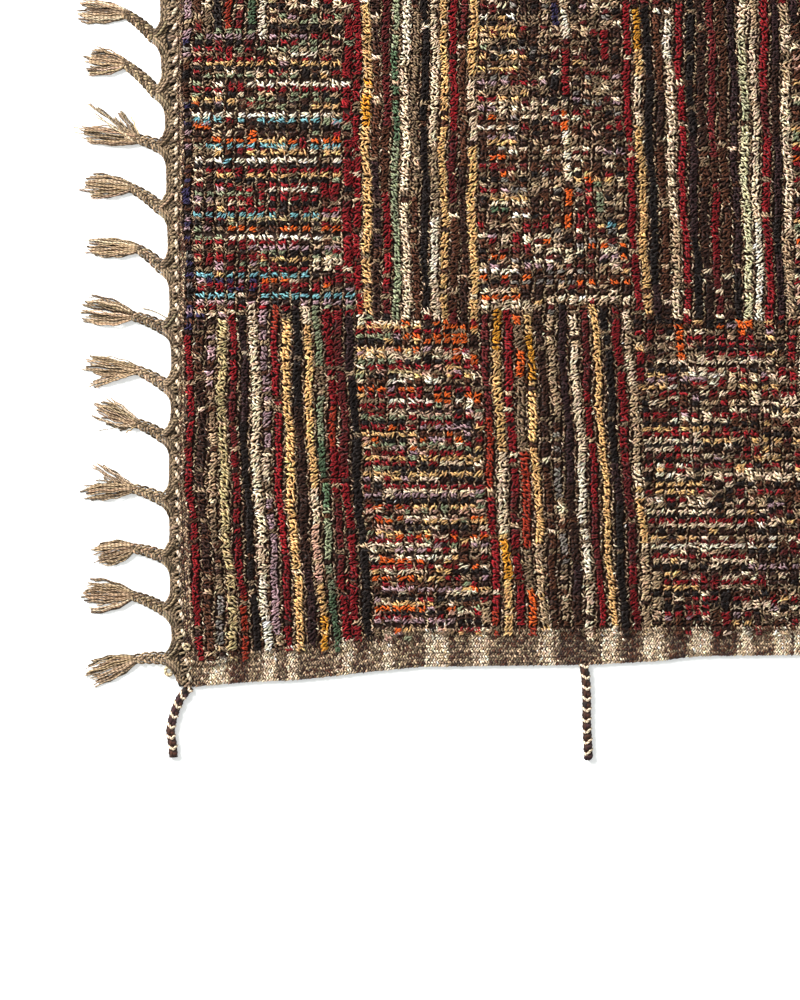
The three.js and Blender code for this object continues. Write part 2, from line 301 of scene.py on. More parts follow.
def new_material(name):
    """A material with an empty node tree."""
    material = bpy.data.materials.new(name)
    material.use_nodes = True
    material.node_tree.nodes.clear()
    return material


# %% Wool as a material
TURN = 2 * math.pi


def ply_lines(material, place):
    """A wave along a yarn that makes dark lines of painted shade where its two plies meet."""
    turn = add_node(material, "SeparateXYZ", links={"Vector": place.outputs["UV"]})
    angle = add_node(material, "Math", {"operation": "MULTIPLY", 1: TURN}, {0: turn.outputs["X"]})
    return add_node(material, "Math", {"operation": "SINE"}, {0: angle.outputs[0]})


def wool_material(name, fibre_mm, contrast, relief_mm, plied):
    """Rough wool in the piece's own colours. fibre_mm is the size of its unevenness."""
    material = new_material(name)
    colour = add_node(material, "Attribute", {"attribute_name": "wool"})
    place = add_node(material, "TexCoord")
    noise = add_node(
        material,
        "TexNoise",
        {"Scale": 1 / (fibre_mm * MM), "Detail": 2, "Roughness": 0.6},
        {"Vector": place.outputs["Object"]},
    )
    shade = add_node(
        material,
        "MapRange",
        {"From Min": 0.3, "From Max": 0.7, "To Min": 1 - contrast, "To Max": 1 + contrast},
        {"Value": noise.outputs["Fac"]},
    )
    height = noise.outputs["Fac"]
    if plied:
        wave = ply_lines(material, place)
        # Painted shade: the colour is darkened along the lines where the two plies meet.
        ply = add_node(
            material,
            "MapRange",
            {"From Min": -1, "From Max": 0.3, "To Min": 0.28, "To Max": 1.1},
            {"Value": wave.outputs[0]},
        )
        both = {0: shade.outputs["Result"], 1: ply.outputs["Result"]}
        shade = add_node(material, "Math", {"operation": "MULTIPLY"}, both)
        both = {0: noise.outputs["Fac"], 1: wave.outputs[0]}
        height = add_node(material, "Math", {"operation": "ADD"}, both).outputs[0]
    tinted = add_node(
        material,
        "VectorMath",
        {"operation": "SCALE"},
        {0: colour.outputs["Color"], "Scale": shade.outputs[0]},
    )
    bump = add_node(
        material, "Bump", {"Strength": 0.6, "Distance": relief_mm * MM}, {"Height": height}
    )
    shader = add_node(
        material,
        "BsdfPrincipled",
        {"Roughness": 0.85, "Sheen Weight": 0.1, "Sheen Roughness": 0.5, "Specular IOR Level": 0.2},
        {"Base Color": tinted.outputs["Vector"], "Normal": bump.outputs["Normal"]},
    )
    add_node(material, "OutputMaterial", links={"Surface": shader.outputs["BSDF"]})
    return material


knotted_wool = wool_material("knotted_pile_wool", fibre_mm=1.2, contrast=0.55, relief_mm=0.5, plied=False)
woven_wool = wool_material("weft_faced_wool", fibre_mm=1.2, contrast=0.6, relief_mm=0.4, plied=False)
warp_yarn = wool_material("two_ply_warp_wool", fibre_mm=2, contrast=0.25, relief_mm=0.3, plied=True)
print("wool materials:", knotted_wool.name, woven_wool.name, warp_yarn.name)

# %% [markdown]
# ## Meshes from arrays
#
# A rug is tens of thousands of small things, and an object for each would be far too slow. So one tuft,
# one stroke of weave or one section of yarn is modelled once, its copies are worked out as arrays, and
# each piece is one joined mesh. These helpers turn arrays of points, in millimetres, into a piece.

# %% One joined mesh
def joined(parts):
    """Several parts, each a dictionary of points, colours, faces in blocks and plies, as one."""
    faces, plies = [], []
    first = 0
    for part in parts:
        faces.extend(block + first for block in part["faces"])
        plies.extend(part["plies"])
        first += len(part["points"])
    return {
        "points": np.concatenate([part["points"] for part in parts]),
        "colours": np.concatenate([part["colours"] for part in parts]),
        "faces": faces,
        "plies": plies,
    }


def as_made(part):
    """The same part where it is, for the pieces that aren't turned."""
    return part


def half_turned(part):
    """The same part after half a turn about the middle of the rug."""
    return dict(part, points=part["points"] * [-1, -1, 1])


triangles_made = {}


def new_piece(name, part, material):
    """One piece of the rug from its arrays, on the rug's only body."""
    mesh = bpy.data.meshes.new(name)
    mesh.vertices.add(len(part["points"]))
    mesh.vertices.foreach_set("co", (part["points"] * MM).astype(np.float32).ravel())
    corners = np.concatenate([block.ravel() for block in part["faces"]])
    sizes = np.concatenate([np.full(len(block), block.shape[1]) for block in part["faces"]])
    starts = np.concatenate([[0], np.cumsum(sizes)[:-1]])
    mesh.loops.add(len(corners))
    mesh.loops.foreach_set("vertex_index", corners.astype(np.int32))
    mesh.polygons.add(len(sizes))
    mesh.polygons.foreach_set("loop_start", starts.astype(np.int32))
    if part["plies"]:
        turns = np.concatenate([block.reshape(-1, 2) for block in part["plies"]])
        ply = mesh.uv_layers.new(name="ply")
        ply.data.foreach_set("uv", turns.astype(np.float32).ravel())
    mesh.update(calc_edges=True)
    mesh.shade_smooth()
    colour = mesh.color_attributes.new("wool", "FLOAT_COLOR", "POINT")
    opaque = np.ones((len(part["points"]), 1))
    colour.data.foreach_set("color", np.hstack([part["colours"], opaque]).astype(np.float32).ravel())
    mesh.materials.append(material)
    piece = bpy.data.objects.new(name, mesh)
    bpy.context.scene.collection.objects.link(piece)
    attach(piece, "root")
    triangles_made[name] = int((sizes - 2).sum())
    return piece


# %% A small model and its copies
def arrays_of(model):
    """The points and the triangles of a small model, which is then deleted."""
    mesh = model.data
    mesh.calc_loop_triangles()
    points = np.array([vertex.co for vertex in mesh.vertices])
    faces = np.array([triangle.vertices for triangle in mesh.loop_triangles])
    bpy.data.objects.remove(model)
    return points, faces


def copies(model, places, sizes, turns, leans, colours, foot_shade):
    """Copies of a model: sized, leaned, turned about Z and set in place. Its foot is darkened by
    foot_shade, painted shade.
    """
    points, faces = model
    x, y, z = (points[None, :, axis] * sizes[:, axis, None] for axis in range(3))
    x = x + leans[:, 0, None] * z
    y = y + leans[:, 1, None] * z
    cos, sin = np.cos(turns)[:, None], np.sin(turns)[:, None]
    placed = np.stack([cos * x - sin * y, sin * x + cos * y, z], axis=2) + places[:, None]
    # Painted shade: each point's colour darkens from the tip down to foot_shade at the foot.
    shade = mix(np.array(foot_shade), 1, np.clip(points[:, 2:], 0, 1))
    number = np.arange(len(places))[:, None, None]
    return {
        "points": placed.reshape(-1, 3),
        "faces": [(faces[None] + len(points) * number).reshape(-1, 3)],
        "colours": (colours[:, None] * shade[None]).reshape(-1, 3),
        "plies": [],
    }


# %% Yarn along lines
PLY_PITCH = 4  # millimetres from one ply line to the next, along the yarn
FLOOR_GAP = 0.05


def yarn(lines, widths, heights, colours, sides=4):
    """Closed yarns that follow lines, an array (yarns, steps, 3), none lower than the floor."""
    count, steps = lines.shape[:2]
    way = np.gradient(lines, axis=1)
    way /= np.linalg.norm(way, axis=2, keepdims=True)
    across = np.stack([way[..., 1], -way[..., 0], np.zeros((count, steps))], axis=2)
    across /= np.linalg.norm(across, axis=2, keepdims=True)
    rise = np.cross(across, way)
    angle = TURN * (np.arange(sides) + 0.5) / sides
    out = np.broadcast_to(widths, (count, steps))[..., None, None] / 2 * np.cos(angle)[:, None]
    up = np.broadcast_to(heights, (count, steps))[..., None, None] / 2 * np.sin(angle)[:, None]
    rings = lines[:, :, None] + across[:, :, None] * out + rise[:, :, None] * up
    rings[..., 2] = np.maximum(rings[..., 2], FLOOR_GAP)

    number = np.arange(count * steps * sides).reshape(count, steps, sides)
    after = np.roll(number, -1, axis=2)
    walls = np.stack([number[:, :-1], number[:, 1:], after[:, 1:], after[:, :-1]], axis=3)
    caps = np.concatenate([number[:, 0], number[:, -1, ::-1]])

    long = np.linalg.norm(np.diff(lines, axis=1), axis=2)
    along = np.concatenate([np.zeros((count, 1)), np.cumsum(long, axis=1)], axis=1) / PLY_PITCH
    turns = along[:, :, None] + 2 * np.arange(sides + 1) / sides
    ply = np.stack([turns, np.broadcast_to(along[:, :, None], turns.shape)], axis=3)
    wall_ply = np.stack([ply[:, :-1, :-1], ply[:, 1:, :-1], ply[:, 1:, 1:], ply[:, :-1, 1:]], axis=3)
    return {
        "points": rings.reshape(-1, 3),
        "faces": [walls.reshape(-1, 4), caps],
        "colours": np.repeat(colours, steps * sides, axis=0),
        "plies": [wall_ply.reshape(-1, 2), np.zeros((caps.size, 2))],
    }


# %% The strands of a plait
def flat_way(route):
    """The unit way along a flat route of points, an array (steps, 2), and the way across it."""
    way = np.gradient(route, axis=0)
    way /= np.linalg.norm(way, axis=1, keepdims=True)
    return way, np.stack([way[:, 1], -way[:, 0]], axis=1)


def lengths_along(route):
    """How far along a flat route each of its points is."""
    return np.concatenate([[0], np.cumsum(np.linalg.norm(np.diff(route, axis=0), axis=1))])


def plait(route, widths, heights, strand_width, strand_height, period):
    """Lines of the three strands of a plait along a flat route, and the way across each strand."""
    _, across = flat_way(route)
    phase = TURN * (lengths_along(route)[None] / period + np.arange(3)[:, None] / 3)
    swing = (widths - strand_width) / 2 * np.sin(phase)
    lift = (strand_height - heights) / 2 * np.sin(2 * phase)
    flat = route[None] + across[None] * swing[..., None]
    lines = np.concatenate([flat, (heights / 2 + lift)[..., None]], axis=2)
    strand_way = np.gradient(flat, axis=1)
    strand_way /= np.linalg.norm(strand_way, axis=2, keepdims=True)
    aside = np.stack([strand_way[..., 1], -strand_way[..., 0], np.zeros(phase.shape)], axis=2)
    return lines, aside


FINE_STEPS = 24  # between two given points, before the route is cut into even steps


def smooth_route(points, step):
    """A smooth route through a few flat points, with one point about every step."""
    ends = np.concatenate([[2 * points[0] - points[1]], points, [2 * points[-1] - points[-2]]])
    fine = []
    for before, a, b, after in zip(ends, ends[1:], ends[2:], ends[3:]):
        share = np.linspace(0, 1, FINE_STEPS, endpoint=False)[:, None]
        out, back = (b - before) / 2, (after - a) / 2
        fine.append(
            (2 * share**3 - 3 * share**2 + 1) * a
            + (share**3 - 2 * share**2 + share) * out
            + (3 * share**2 - 2 * share**3) * b
            + (share**3 - share**2) * back
        )
    fine = np.concatenate(fine + [points[-1:]])
    long = lengths_along(fine)
    places = np.linspace(0, long[-1], int(round(long[-1] / step)) + 1)
    return np.stack([np.interp(places, long, fine[:, axis]) for axis in (0, 1)], axis=1)


# %% [markdown]
# ## The two cords
#
# One short cord hangs from the corner and one from the side. Each is a tight plait, whose upper face shows
# as chevrons: two arms of dark wool that meet in a point, with a cream yarn between each two. The routes
# are the part's own, in metres. The photograph's lower edge cuts both cords off: they end just past it.

# %% Lines of the chevrons
CHEVRON_DROP = 0.95  # how far an arm runs along the cord for each millimetre across it
ARM_STEPS = 6


def chevrons(route, marks, points, reach, rise):
    """Lines of both arms of each chevron whose point is at a mark along the cord."""
    _, across = flat_way(route)
    long = lengths_along(route)
    points = points[:, None]
    arms = []
    for side in (-1, 1):
        aside = mix(side * reach, points, np.linspace(0, 1, ARM_STEPS))
        along = marks[:, None] - CHEVRON_DROP * np.abs(aside - points)
        flat = [
            np.interp(along, long, place) + aside * np.interp(along, long, out)
            for place, out in zip(route.T, across.T)
        ]
        arms.append(np.stack(flat + [np.broadcast_to(rise, along.shape)], axis=2))
    return np.concatenate(arms)


# %% [markdown]
# ### The strands of a cord
#
# A dark core runs through each cord. Thick dark arms lie on it, a little apart, and the cream yarns lie
# between them and rise over their edges.

# %% The strands of a cord
CORE_WIDTH = 9.2
CORE_HEIGHT = 5.8
CHEVRON_START = 4  # from the start of a cord to its first chevron
CHEVRON_PITCH = 10.8
DARK_REACH = 3.4  # from the middle of the cord to the outer end of an arm
DARK_WIDTHS = np.array([3.6, 4.8, 5.8, 6.2, 5.8, 4])
DARK_RISE = np.array([3.4, 4.6, 5.1, 5.1, 5, 4.6])
DARK_FLATNESS = 0.8
DARK_LIGHT = 1.1
CREAM_REACH = 4.3
CREAM_WIDTH = 2.7
CREAM_RISE = np.array([2.6, 4.6, 5.8, 6.2, 6.2, 6])


def cord_part(route, ends, rng):
    """A dark core under chevrons of dark strands, with a cream yarn between each two."""
    long = lengths_along(route)[-1]
    marks = np.arange(CHEVRON_START, long, CHEVRON_PITCH)
    between = marks + CHEVRON_PITCH / 2
    points, points_between = (np.interp(place, [0, long], ends) for place in (marks, between))
    core = np.column_stack([route, np.full(len(route), CORE_HEIGHT / 2)])[None]
    dark = WOOL_COLOURS[rng.choice(wools_of("dark_brown*4 purple_black*2 black"), 2 * len(marks))]
    dark = uneven(rng, dark * DARK_LIGHT, light=0.12, hue=0.03)
    pale = WOOL_COLOURS[wools_of("cream").repeat(2 * len(marks))]
    pale = uneven(rng, pale, light=0.06, hue=0.02)
    dark_arms = chevrons(route, between, points_between, DARK_REACH, DARK_RISE)
    cream_arms = chevrons(route, marks, points, CREAM_REACH, CREAM_RISE)
    return joined(
        [
            yarn(core, CORE_WIDTH, CORE_HEIGHT, WOOL_COLOURS[wools_of("dark_brown")], sides=8),
            yarn(dark_arms, DARK_WIDTHS, DARK_WIDTHS * DARK_FLATNESS, dark, sides=7),
            yarn(cream_arms, CREAM_WIDTH, CREAM_WIDTH, pale, sides=5),
        ]
    )


# %% [markdown]
# ### Both cords
#
# Each is made along its path, and its plain solid is hidden.

# %% The cords
CORD_ROUTES = {
    "cord_corner": table("x y", """
-0.603 -0.519, -0.612 -0.529, -0.618 -0.542, -0.621 -0.552, -0.623 -0.564, -0.621 -0.577,
-0.620 -0.590
"""),
    "cord_side": table("x y", """
-0.209 -0.497, -0.207 -0.512, -0.206 -0.532, -0.206 -0.552, -0.205 -0.572, -0.204 -0.590
"""),
}
CORD_SEED = 70
CORD_STEP = 1.5
# Where the points of the chevrons lie, across each cord, at its start and at its end.
CHEVRON_POINTS = {"cord_corner": (-2.2, 0), "cord_side": (-2.2, 2.2)}

for number, (name, points) in enumerate(CORD_ROUTES.items()):
    route = smooth_route(np.column_stack(list(points.values())) / MM, CORD_STEP)
    part = cord_part(route, CHEVRON_POINTS[name], np.random.default_rng(CORD_SEED + number))
    cord = new_piece(f"plaited_{name}", part, warp_yarn)
    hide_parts(name)

# %% [markdown]
# ## The plain cloth
#
# Under the knots lies a flat wool cloth of warps and wefts, about 6 mm thick here, and thinner in the
# flat-woven bands. It is one closed sheet: a grid whose lines follow the rows of knots, so that the pile
# will sit in it, with a wall down to the floor and one flat underside.

# %% The sheet
WEAVE_TOP = 5
WEAVE_EDGE = 4
PILE_BED = 6.2
SIDE_Y = 500.0  # about where the long sides run
# Painted shade: the bed is the dark wool of the foundation, darkened further for the shade in the gaps
# between the locks and strokes above it.
BED_SHADE_COLOUR = linear("2a1c15")
BAND_BED_SHADE_COLOUR = linear("3a2a20")


def cloth_grid(bands, strips, lengths):
    """x and y of a grid over the cloth, and the height that each of its points has."""
    counts = np.concatenate([np.full(strips, 0.0), np.arange(ROWS + 1.0), np.full(strips, float(ROWS))])
    rising = np.arange(strips) / strips
    strip = np.concatenate([rising, np.ones(ROWS + 1), rising[::-1]])
    west_side = np.arange(len(counts)) < len(counts) / 2

    def lines_x(y):
        edge = np.where(west_side, west_cloth(y), -west_cloth(-y))
        return mix(edge, row_line(counts, y), strip)

    south_x, north_x = (lines_x(np.full(len(counts), y)) for y in (-SIDE_Y, SIDE_Y))
    low, high = south_edge(south_x), -south_edge(-north_x)
    low_pile, high_pile = south_pile(south_x), -south_pile(-north_x)
    shares = np.arange(bands) / bands
    rows = [mix(low, low_pile, share) for share in shares]
    rows += [mix(low_pile, high_pile, share) for share in np.linspace(0, 1, lengths)]
    rows += [mix(high, high_pile, share) for share in shares[::-1]]
    y = np.stack(rows)
    x = np.stack([lines_x(line) for line in y])
    across = np.minimum(np.arange(len(rows)), np.arange(len(rows))[::-1]) / bands
    inside = np.minimum(strip[None], across[:, None])
    height = np.where(inside >= 1, PILE_BED, mix(WEAVE_EDGE, WEAVE_TOP, np.clip(inside, 0, 1)))
    return x, y, height


def closed_sheet(x, y, height):
    """A closed sheet over a grid: its top, the wall at its edge and one flat face below."""
    lines, along = x.shape
    top = np.stack([x, y, height], axis=2).reshape(-1, 3)
    number = np.arange(lines * along).reshape(lines, along)
    quads = np.stack([number[:-1, :-1], number[:-1, 1:], number[1:, 1:], number[1:, :-1]], axis=2)
    edge = np.concatenate([number[0, :-1], number[:-1, -1], number[-1, :0:-1], number[:0:-1, 0]])
    under = len(top) + np.arange(len(edge))
    walls = np.stack([edge, under, np.roll(under, -1), np.roll(edge, -1)], axis=1)
    points = np.concatenate([top, top[edge] * [1, 1, 0]])
    under_pile = (points[:, 2] >= PILE_BED)[:, None]
    return {
        "points": points,
        "faces": [quads.reshape(-1, 4), walls, under[::-1][None]],
        "colours": np.where(under_pile, BED_SHADE_COLOUR, BAND_BED_SHADE_COLOUR),
        "plies": [],
    }


sheet = closed_sheet(*cloth_grid(bands=4, strips=2, lengths=60))
cloth = new_piece("plain_cloth", sheet, woven_wool)
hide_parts("rug_cloth")
print("the plain cloth has", triangles_made["plain_cloth"], "triangles")

# %% [markdown]
# ## The blocks of colour
#
# The rug is a chequer of blocks. In half of them each row of knots keeps one wool, which makes stripes.
# In the others the wools change from knot to knot, and since the same wool is often carried on from row
# to row, they line up in dotted lines across the rows. The tables were charted. They say which
# wool each striped row has, from the west, and where the clearest dotted lines lie. All the rest is
# drawn by chance from a few wools, as a knotter uses up ends of yarn.

# %% Where one block ends and the next begins
BLOCK_LINES = table("x south north", """
-610 -164 136
-540 -143 138
-528 -142 128
-523 -141 174
-490 -137 174
-445 -148 174
-320 -151 172
-310 -145 172
-230 -143 170
-174 -142 170
-169 -142 160
-145 -148 160
-123 -150 160
-118 -150 172
-100 -151 172
-8 -151 168
0 -151 151
""")


def block_band(x, y):
    """0, 1 or 2: the south, middle or north band of blocks."""
    west, east = np.minimum(x, 0), -np.maximum(x, 0)
    band = 0
    for line, turned in (("south", "north"), ("north", "south")):
        at = np.where(x < 0, read(BLOCK_LINES, "x", west, line), -read(BLOCK_LINES, "x", east, turned))
        band = band + (y > at)
    return band


# %% The striped blocks
STRIPES = {
    (0, 0): "red dark_brown indigo yellow red black cream mauve red gold purple_black peach grey_green"
    " red red black",
    (1, 1): "red gold dark_brown dark_red grey_green cream tan black cream gold dark_red brown gold",
    (2, 0): "red gold red rust gold dark_brown grey purple_black white dark_red peach black red beige",
    (3, 1): "red gold black brown cream red black dark_brown dark_red brown purple_black sage cream"
    " red purple_black beige",
    (0, 2): "indigo brown tan black orange red grey_green cream gold brown red black cream dark_red"
    " tan brown",
}


def stripe_wools(column, band):
    """The wools of a striped block, from the west. A block that the photograph cuts off repeats one
    of the same width, turned round."""
    if (column, band) in STRIPES:
        return wools_of(STRIPES[column, band])
    alike = [key for key in STRIPES if COLUMN_ROWS[key[0]] == COLUMN_ROWS[column]]
    return wools_of(STRIPES[alike[(column + band) % len(alike)]])[::-1]


assert all(len(wools_of(names)) == COLUMN_ROWS[column] for (column, _), names in STRIPES.items())

# %% The mixed blocks
MIXES = {
    "fine": "brown*6 tan*4 dark_brown*5 black*3 cream*4 beige*3 grey_green*4 red*4 dark_red*2 mauve*2"
    " gold orange",
    "warm": "brown*4 tan*4 dark_brown*3 black*3 cream*5 peach*3 mauve*3 red*5 gold*3 orange*3 grey_green*2",
    "plain": "brown*8 tan*6 dark_brown*6 cream*4 beige*4 grey*2 black*3 dark_red*4 red*2 gold orange mauve",
    "dark": "brown*6 dark_brown*5 black*5 tan*5 cream*5 beige*3 red*4 dark_red*3 gold*2 white mauve",
}
BLOCK_MIXES = {(0, 1): "fine", (1, 0): "warm", (2, 1): "plain", (3, 0): "dark"}
# The clearest dotted lines, by the photograph's row and the columns between which each runs.
DOTTED = {
    (0, 1): table("row wool start end", """
27 red 192 249, 31 grey_green 200 260, 36 mauve 205 300, 42 black 192 240, 49 red 194 250,
54 white 290 330, 59 red 191 262, 63 gold 203 345, 68 black 186 345, 75 grey_green 206 300,
84 white 204 345, 89 red 194 345, 94 black 205 236, 100 gold 196 231, 106 black 190 230,
106 gold 315 338, 111 cyan 197 270, 111 mauve 283 306, 115 white 195 330, 120 cyan 198 338,
126 orange 194 210, 126 black 264 340, 136 gold 265 290, 140.5 orange 216 338, 146 cyan 210 338,
152 gold 213 341, 156.6 cyan 214 322, 160.6 white 200 341, 166 black 194 341, 170 red 208 340,
175 gold 222 341, 180 black 214 323, 185 red 271 341, 189 white 272 318, 189 red 240 267,
193.5 grey_green 200 253, 198.6 red 233 315, 203 black 253 313, 209.5 red 225 267, 215 cyan 197 322,
218.7 yellow 233 345, 223 black 187 322, 228.5 orange 224 345, 233 grey_green 200 345,
237.6 white 224 315, 241.7 red 197 314, 247.4 mauve 263 346, 252 black 287 315, 259 gold 264 306,
263.5 black 283 315, 268.6 red 226 306, 275 cyan 201 318, 280.7 orange 260 290, 280.7 indigo 211 253,
285 red 211 315, 289 indigo 226 258, 295.6 cyan 185 350, 302.5 pink 185 306, 307 red 182 320,
315 indigo 200 300
"""),
    (1, 0): table("row wool start end", """
323 orange 405 445, 327 gold 355 424, 331 red 354 378, 336 grey_green 360 394, 341 black 360 400,
341 orange 428 463, 350 gold 360 385, 356.6 cream 360 473, 362 grey_green 360 392, 362 black 406 445,
367 red 355 424, 372 yellow 358 423, 376 black 357 394, 381 white 390 443, 389 orange 360 413,
389 red 437 472, 395 red 361 418, 401 white 391 473, 405.5 red 364 428, 411 purple_black 407 472,
417 grey_green 358 451, 423 black 366 409, 427 red 359 407, 434 gold 360 417, 440 black 382 409,
447.6 pink 390 405, 453 red 432 476, 458 gold 364 479, 463.4 red 367 403, 463.4 cream 445 478,
468.7 black 390 480, 474 gold 367 480, 479 black 455 480, 487 red 369 485, 491 cream 400 470,
495 mauve 390 472, 501 black 372 463, 507 gold 411 474, 514 red 411 451, 514 orange 393 405,
518.4 cream 411 451, 524.7 mauve 392 430, 528 black 402 463, 533 gold 377 407, 540.5 red 374 455,
544.7 cream 374 434, 550 mauve 397 421, 558 white 423 445, 561 orange 376 421, 567 red 373 434,
571 cream 373 421, 578.4 orange 377 413, 578.4 gold 416 438, 584.7 red 385 405, 589 mauve 380 460,
595 black 397 480, 599.5 red 415 434, 603.7 gold 396 430, 609 orange 380 424, 613 black 400 430,
617 red 375 434, 621 mauve 380 450, 626 gold 407 413, 630 orange 387 405
"""),
    (2, 1): table("row wool start end", """
17 white 479 515, 23 black 477 496, 28 gold 478 515, 35 gold 490 525, 48 grey_green 479 487,
57 gold 485 520, 69 gold 483 515, 99 gold 485 515, 117 orange 490 520, 127 white 480 519,
137 mauve 492 518, 142 gold 491 518, 152 white 503 518, 157 orange 492 517, 165 red 478 496,
190 red 483 496, 198 gold 493 529, 203 cream 488 526, 209.5 green 493 506, 216 white 509 529,
236 red 509 518, 257 orange 491 506, 271 white 480 518, 277 orange 480 528, 282 black 480 506,
291 cream 480 521, 298 orange 480 528, 307 cream 486 529
"""),
    (3, 0): table("row wool start end", """
325.6 orange 723 740, 341 cream 718 731, 345 red 724 742, 354 red 705 761, 361 cream 661 772,
370 red 706 744, 375 white 685 724, 375 gold 652 680, 379 cream 748 787, 387 gold 722 787,
397.6 cream 751 796, 403 cream 641 652, 410 cream 712 764, 415 red 641 748, 420 cream 671 730,
424 black 644 757, 429 gold 645 709, 434 red 645 758, 440.6 cream 651 697, 445 black 650 740,
449 cream 645 697, 449 red 747 760, 456 red 647 695, 458 gold 747 778, 466 red 662 689,
474.6 cream 664 800, 479 black 646 700, 484 gold 652 700, 488 red 648 700, 492 gold 646 694,
500 red 663 683, 504.7 cream 675 715, 512 cream 647 741, 516 black 650 740, 521 red 649 761,
525 cream 657 730, 531 black 657 683, 538 gold 651 695, 538 white 745 774, 546 white 660 776,
556 red 655 742, 561 cream 711 752, 566.5 black 661 752, 574 gold 666 675, 582 red 663 753,
587 gold 668 698, 593.6 black 661 726, 599 red 685 753, 603 cream 751 776, 607 red 686 711,
614 red 662 747, 622 gold 735 750
"""),
}
# Short runs of one wool that keep to one row of knots, down the photograph.
RUNS = table("column wool start end", """
556 indigo 4 25, 556 black 65 104, 564 white 9 48, 564 red 49 98, 564 orange 108 135, 564 cream 130 183,
571 orange 186 226, 589 red 181 226, 600 red 3 75, 600 grey_green 183 213, 610 cyan 220 233,
642 red 353 385, 683 orange 325 361, 745 orange 318 332, 788 red 320 366, 344 red 18 316,
220 grey 590 662, 257 cream 0 42, 268 yellow 0 42, 541 beige 545 650, 486 beige 590 650,
509 amber 525 578, 367 amber 80 125, 325 amber 608 650, 642 gold 489 545, 645 beige 549 650,
654 beige 556 650
""")
print("striped blocks charted:", len(STRIPES), "and mixed ones:", len(DOTTED))

# %% [markdown]
# ## Where each knot sits and which wool it has
#
# A row of knots has one about every 5 mm. The knots of neighbouring rows lie at the same levels, so
# that a wool that is carried on makes a line. The arrays below have a line for each row of knots and a
# place for each level.

# %% The knots
KNOT_SEED = 3
PILE_REACH = 506  # from the middle, past the last knot of every row
LEVEL_PITCH = 5.1
LEVEL_SPREAD = 0.3
RAGGED = 2.5  # how far the rows reach into the next block, more or less
ROW_ENDS = (-2.5, 2.8)  # how far inside the pile's edge a row of knots ends, and how much that varies
ROW_FATNESS = (0.85, 1.12)
RIM = 1.5  # between the outermost ground yarn and the edge of the pile

rng = np.random.default_rng(KNOT_SEED)
levels = np.arange(-PILE_REACH, PILE_REACH, LEVEL_PITCH)
row_numbers = np.arange(ROWS)
columns_of_rows = np.searchsorted(FENCE_COUNTS, row_numbers + 0.5, side="right") - 1


def level_of(photo_row):
    return int(round((ROW_AT_ORIGIN - photo_row - levels[0]) / LEVEL_PITCH))


level_places = np.tile(levels, (len(COLUMN_ROWS), 3, 1))
for (column, band), dots in DOTTED.items():
    for photo_row in dots["row"]:
        level_places[column, band, level_of(photo_row)] = ROW_AT_ORIGIN - photo_row

flat_y = np.tile(levels, (ROWS, 1))
ragged = rng.normal(0, RAGGED, (ROWS, 1))
knot_column = np.tile(columns_of_rows[:, None], (1, len(levels)))
knot_band = block_band(row_line(row_numbers[:, None] + 0.5, flat_y), flat_y + ragged)
knot_y = level_places[knot_column, knot_band, np.arange(len(levels))[None]]
knot_y = knot_y + rng.normal(0, LEVEL_SPREAD, knot_y.shape)
knot_x = wandering(row_numbers[:, None] + 0.5, knot_y)
row_ends = rng.normal(*ROW_ENDS, (2, ROWS, 1))
in_pile = (knot_y > south_pile(knot_x) + row_ends[0]) & (knot_y < -south_pile(-knot_x) - row_ends[1])
knot_wool = np.zeros(knot_x.shape, int)
knot_light = np.ones(knot_x.shape)
row_hands = rng.choice([-1, 1], ROWS)  # the way that a row's locks lean
row_fatness = rng.uniform(*ROW_FATNESS, ROWS)
print("knots:", int(in_pile.sum()))

# %% Wools of a striped block
# The wools that a stripe goes through, one after another.
KIN = {
    "red": "red*6 dark_red rust",
    "dark_red": "dark_red*3 red brown",
    "orange": "orange rust*3 gold",
    "sage": "sage*3 cream",
    "gold": "gold*8 amber cream",
    "yellow": "yellow*5 gold",
    "peach": "peach*2 gold*2 cream",
    "cream": "cream*5 white*2 beige",
    "white": "white*4 cream",
    "beige": "beige*4 cream*2",
    "tan": "tan*2 brown*3 dark_brown",
    "brown": "brown*4 dark_red dark_brown",
    "dark_brown": "dark_brown*3 brown purple_black",
    "purple_black": "purple_black*2 dark_brown black",
    "black": "black*3 purple_black",
    "grey": "grey*2 beige*3 tan",
    "grey_green": "grey_green*4 green tan",
    "rust": "rust*3 orange*2 tan",
    "mauve": "mauve*3 beige*2 cream",
    "indigo": "indigo*3 mauve*2 tan*2 beige",
}
STRETCH = (5, 22)  # knots of a stripe before its wool changes
SHIFT = 0.12  # how much lighter or darker the next end of wool is
STRIPE_LIGHT = 1.04  # a stripe's wools are cleaner than those of the mixed blocks
# The share of a stripe's knots that are flecks of other wool.
FLECKS = dict(indigo=0.3, grey=0.3, dark_brown=0.15, brown=0.14, tan=0.2, mauve=0.2, red=0.08)
USUAL_FLECKS = 0.05
FLECK_WOOLS = wools_of("cream beige tan*2 brown*2 dark_brown")


def dress_striped(wools, rows, stripes):
    """Chooses the wools of a striped block, row by row."""
    for row, main in zip(rows, stripes):
        name = WOOL_NAMES[main]
        ends = np.cumsum(rng.integers(*STRETCH, len(levels)))
        for stretch in np.split(np.arange(len(levels)), ends[ends < len(levels)]):
            wools[row, stretch] = rng.choice(wools_of(KIN[name]))
            knot_light[row, stretch] = STRIPE_LIGHT * np.exp(rng.normal(0, SHIFT))
        flecked = rng.random(len(levels)) < FLECKS.get(name, USUAL_FLECKS)
        wools[row, flecked] = rng.choice(FLECK_WOOLS, flecked.sum())


# %% [markdown]
# ### Mixed blocks
#
# A mixed block is dressed level by level with a few short stretches, and the charted dotted lines are
# laid over that.

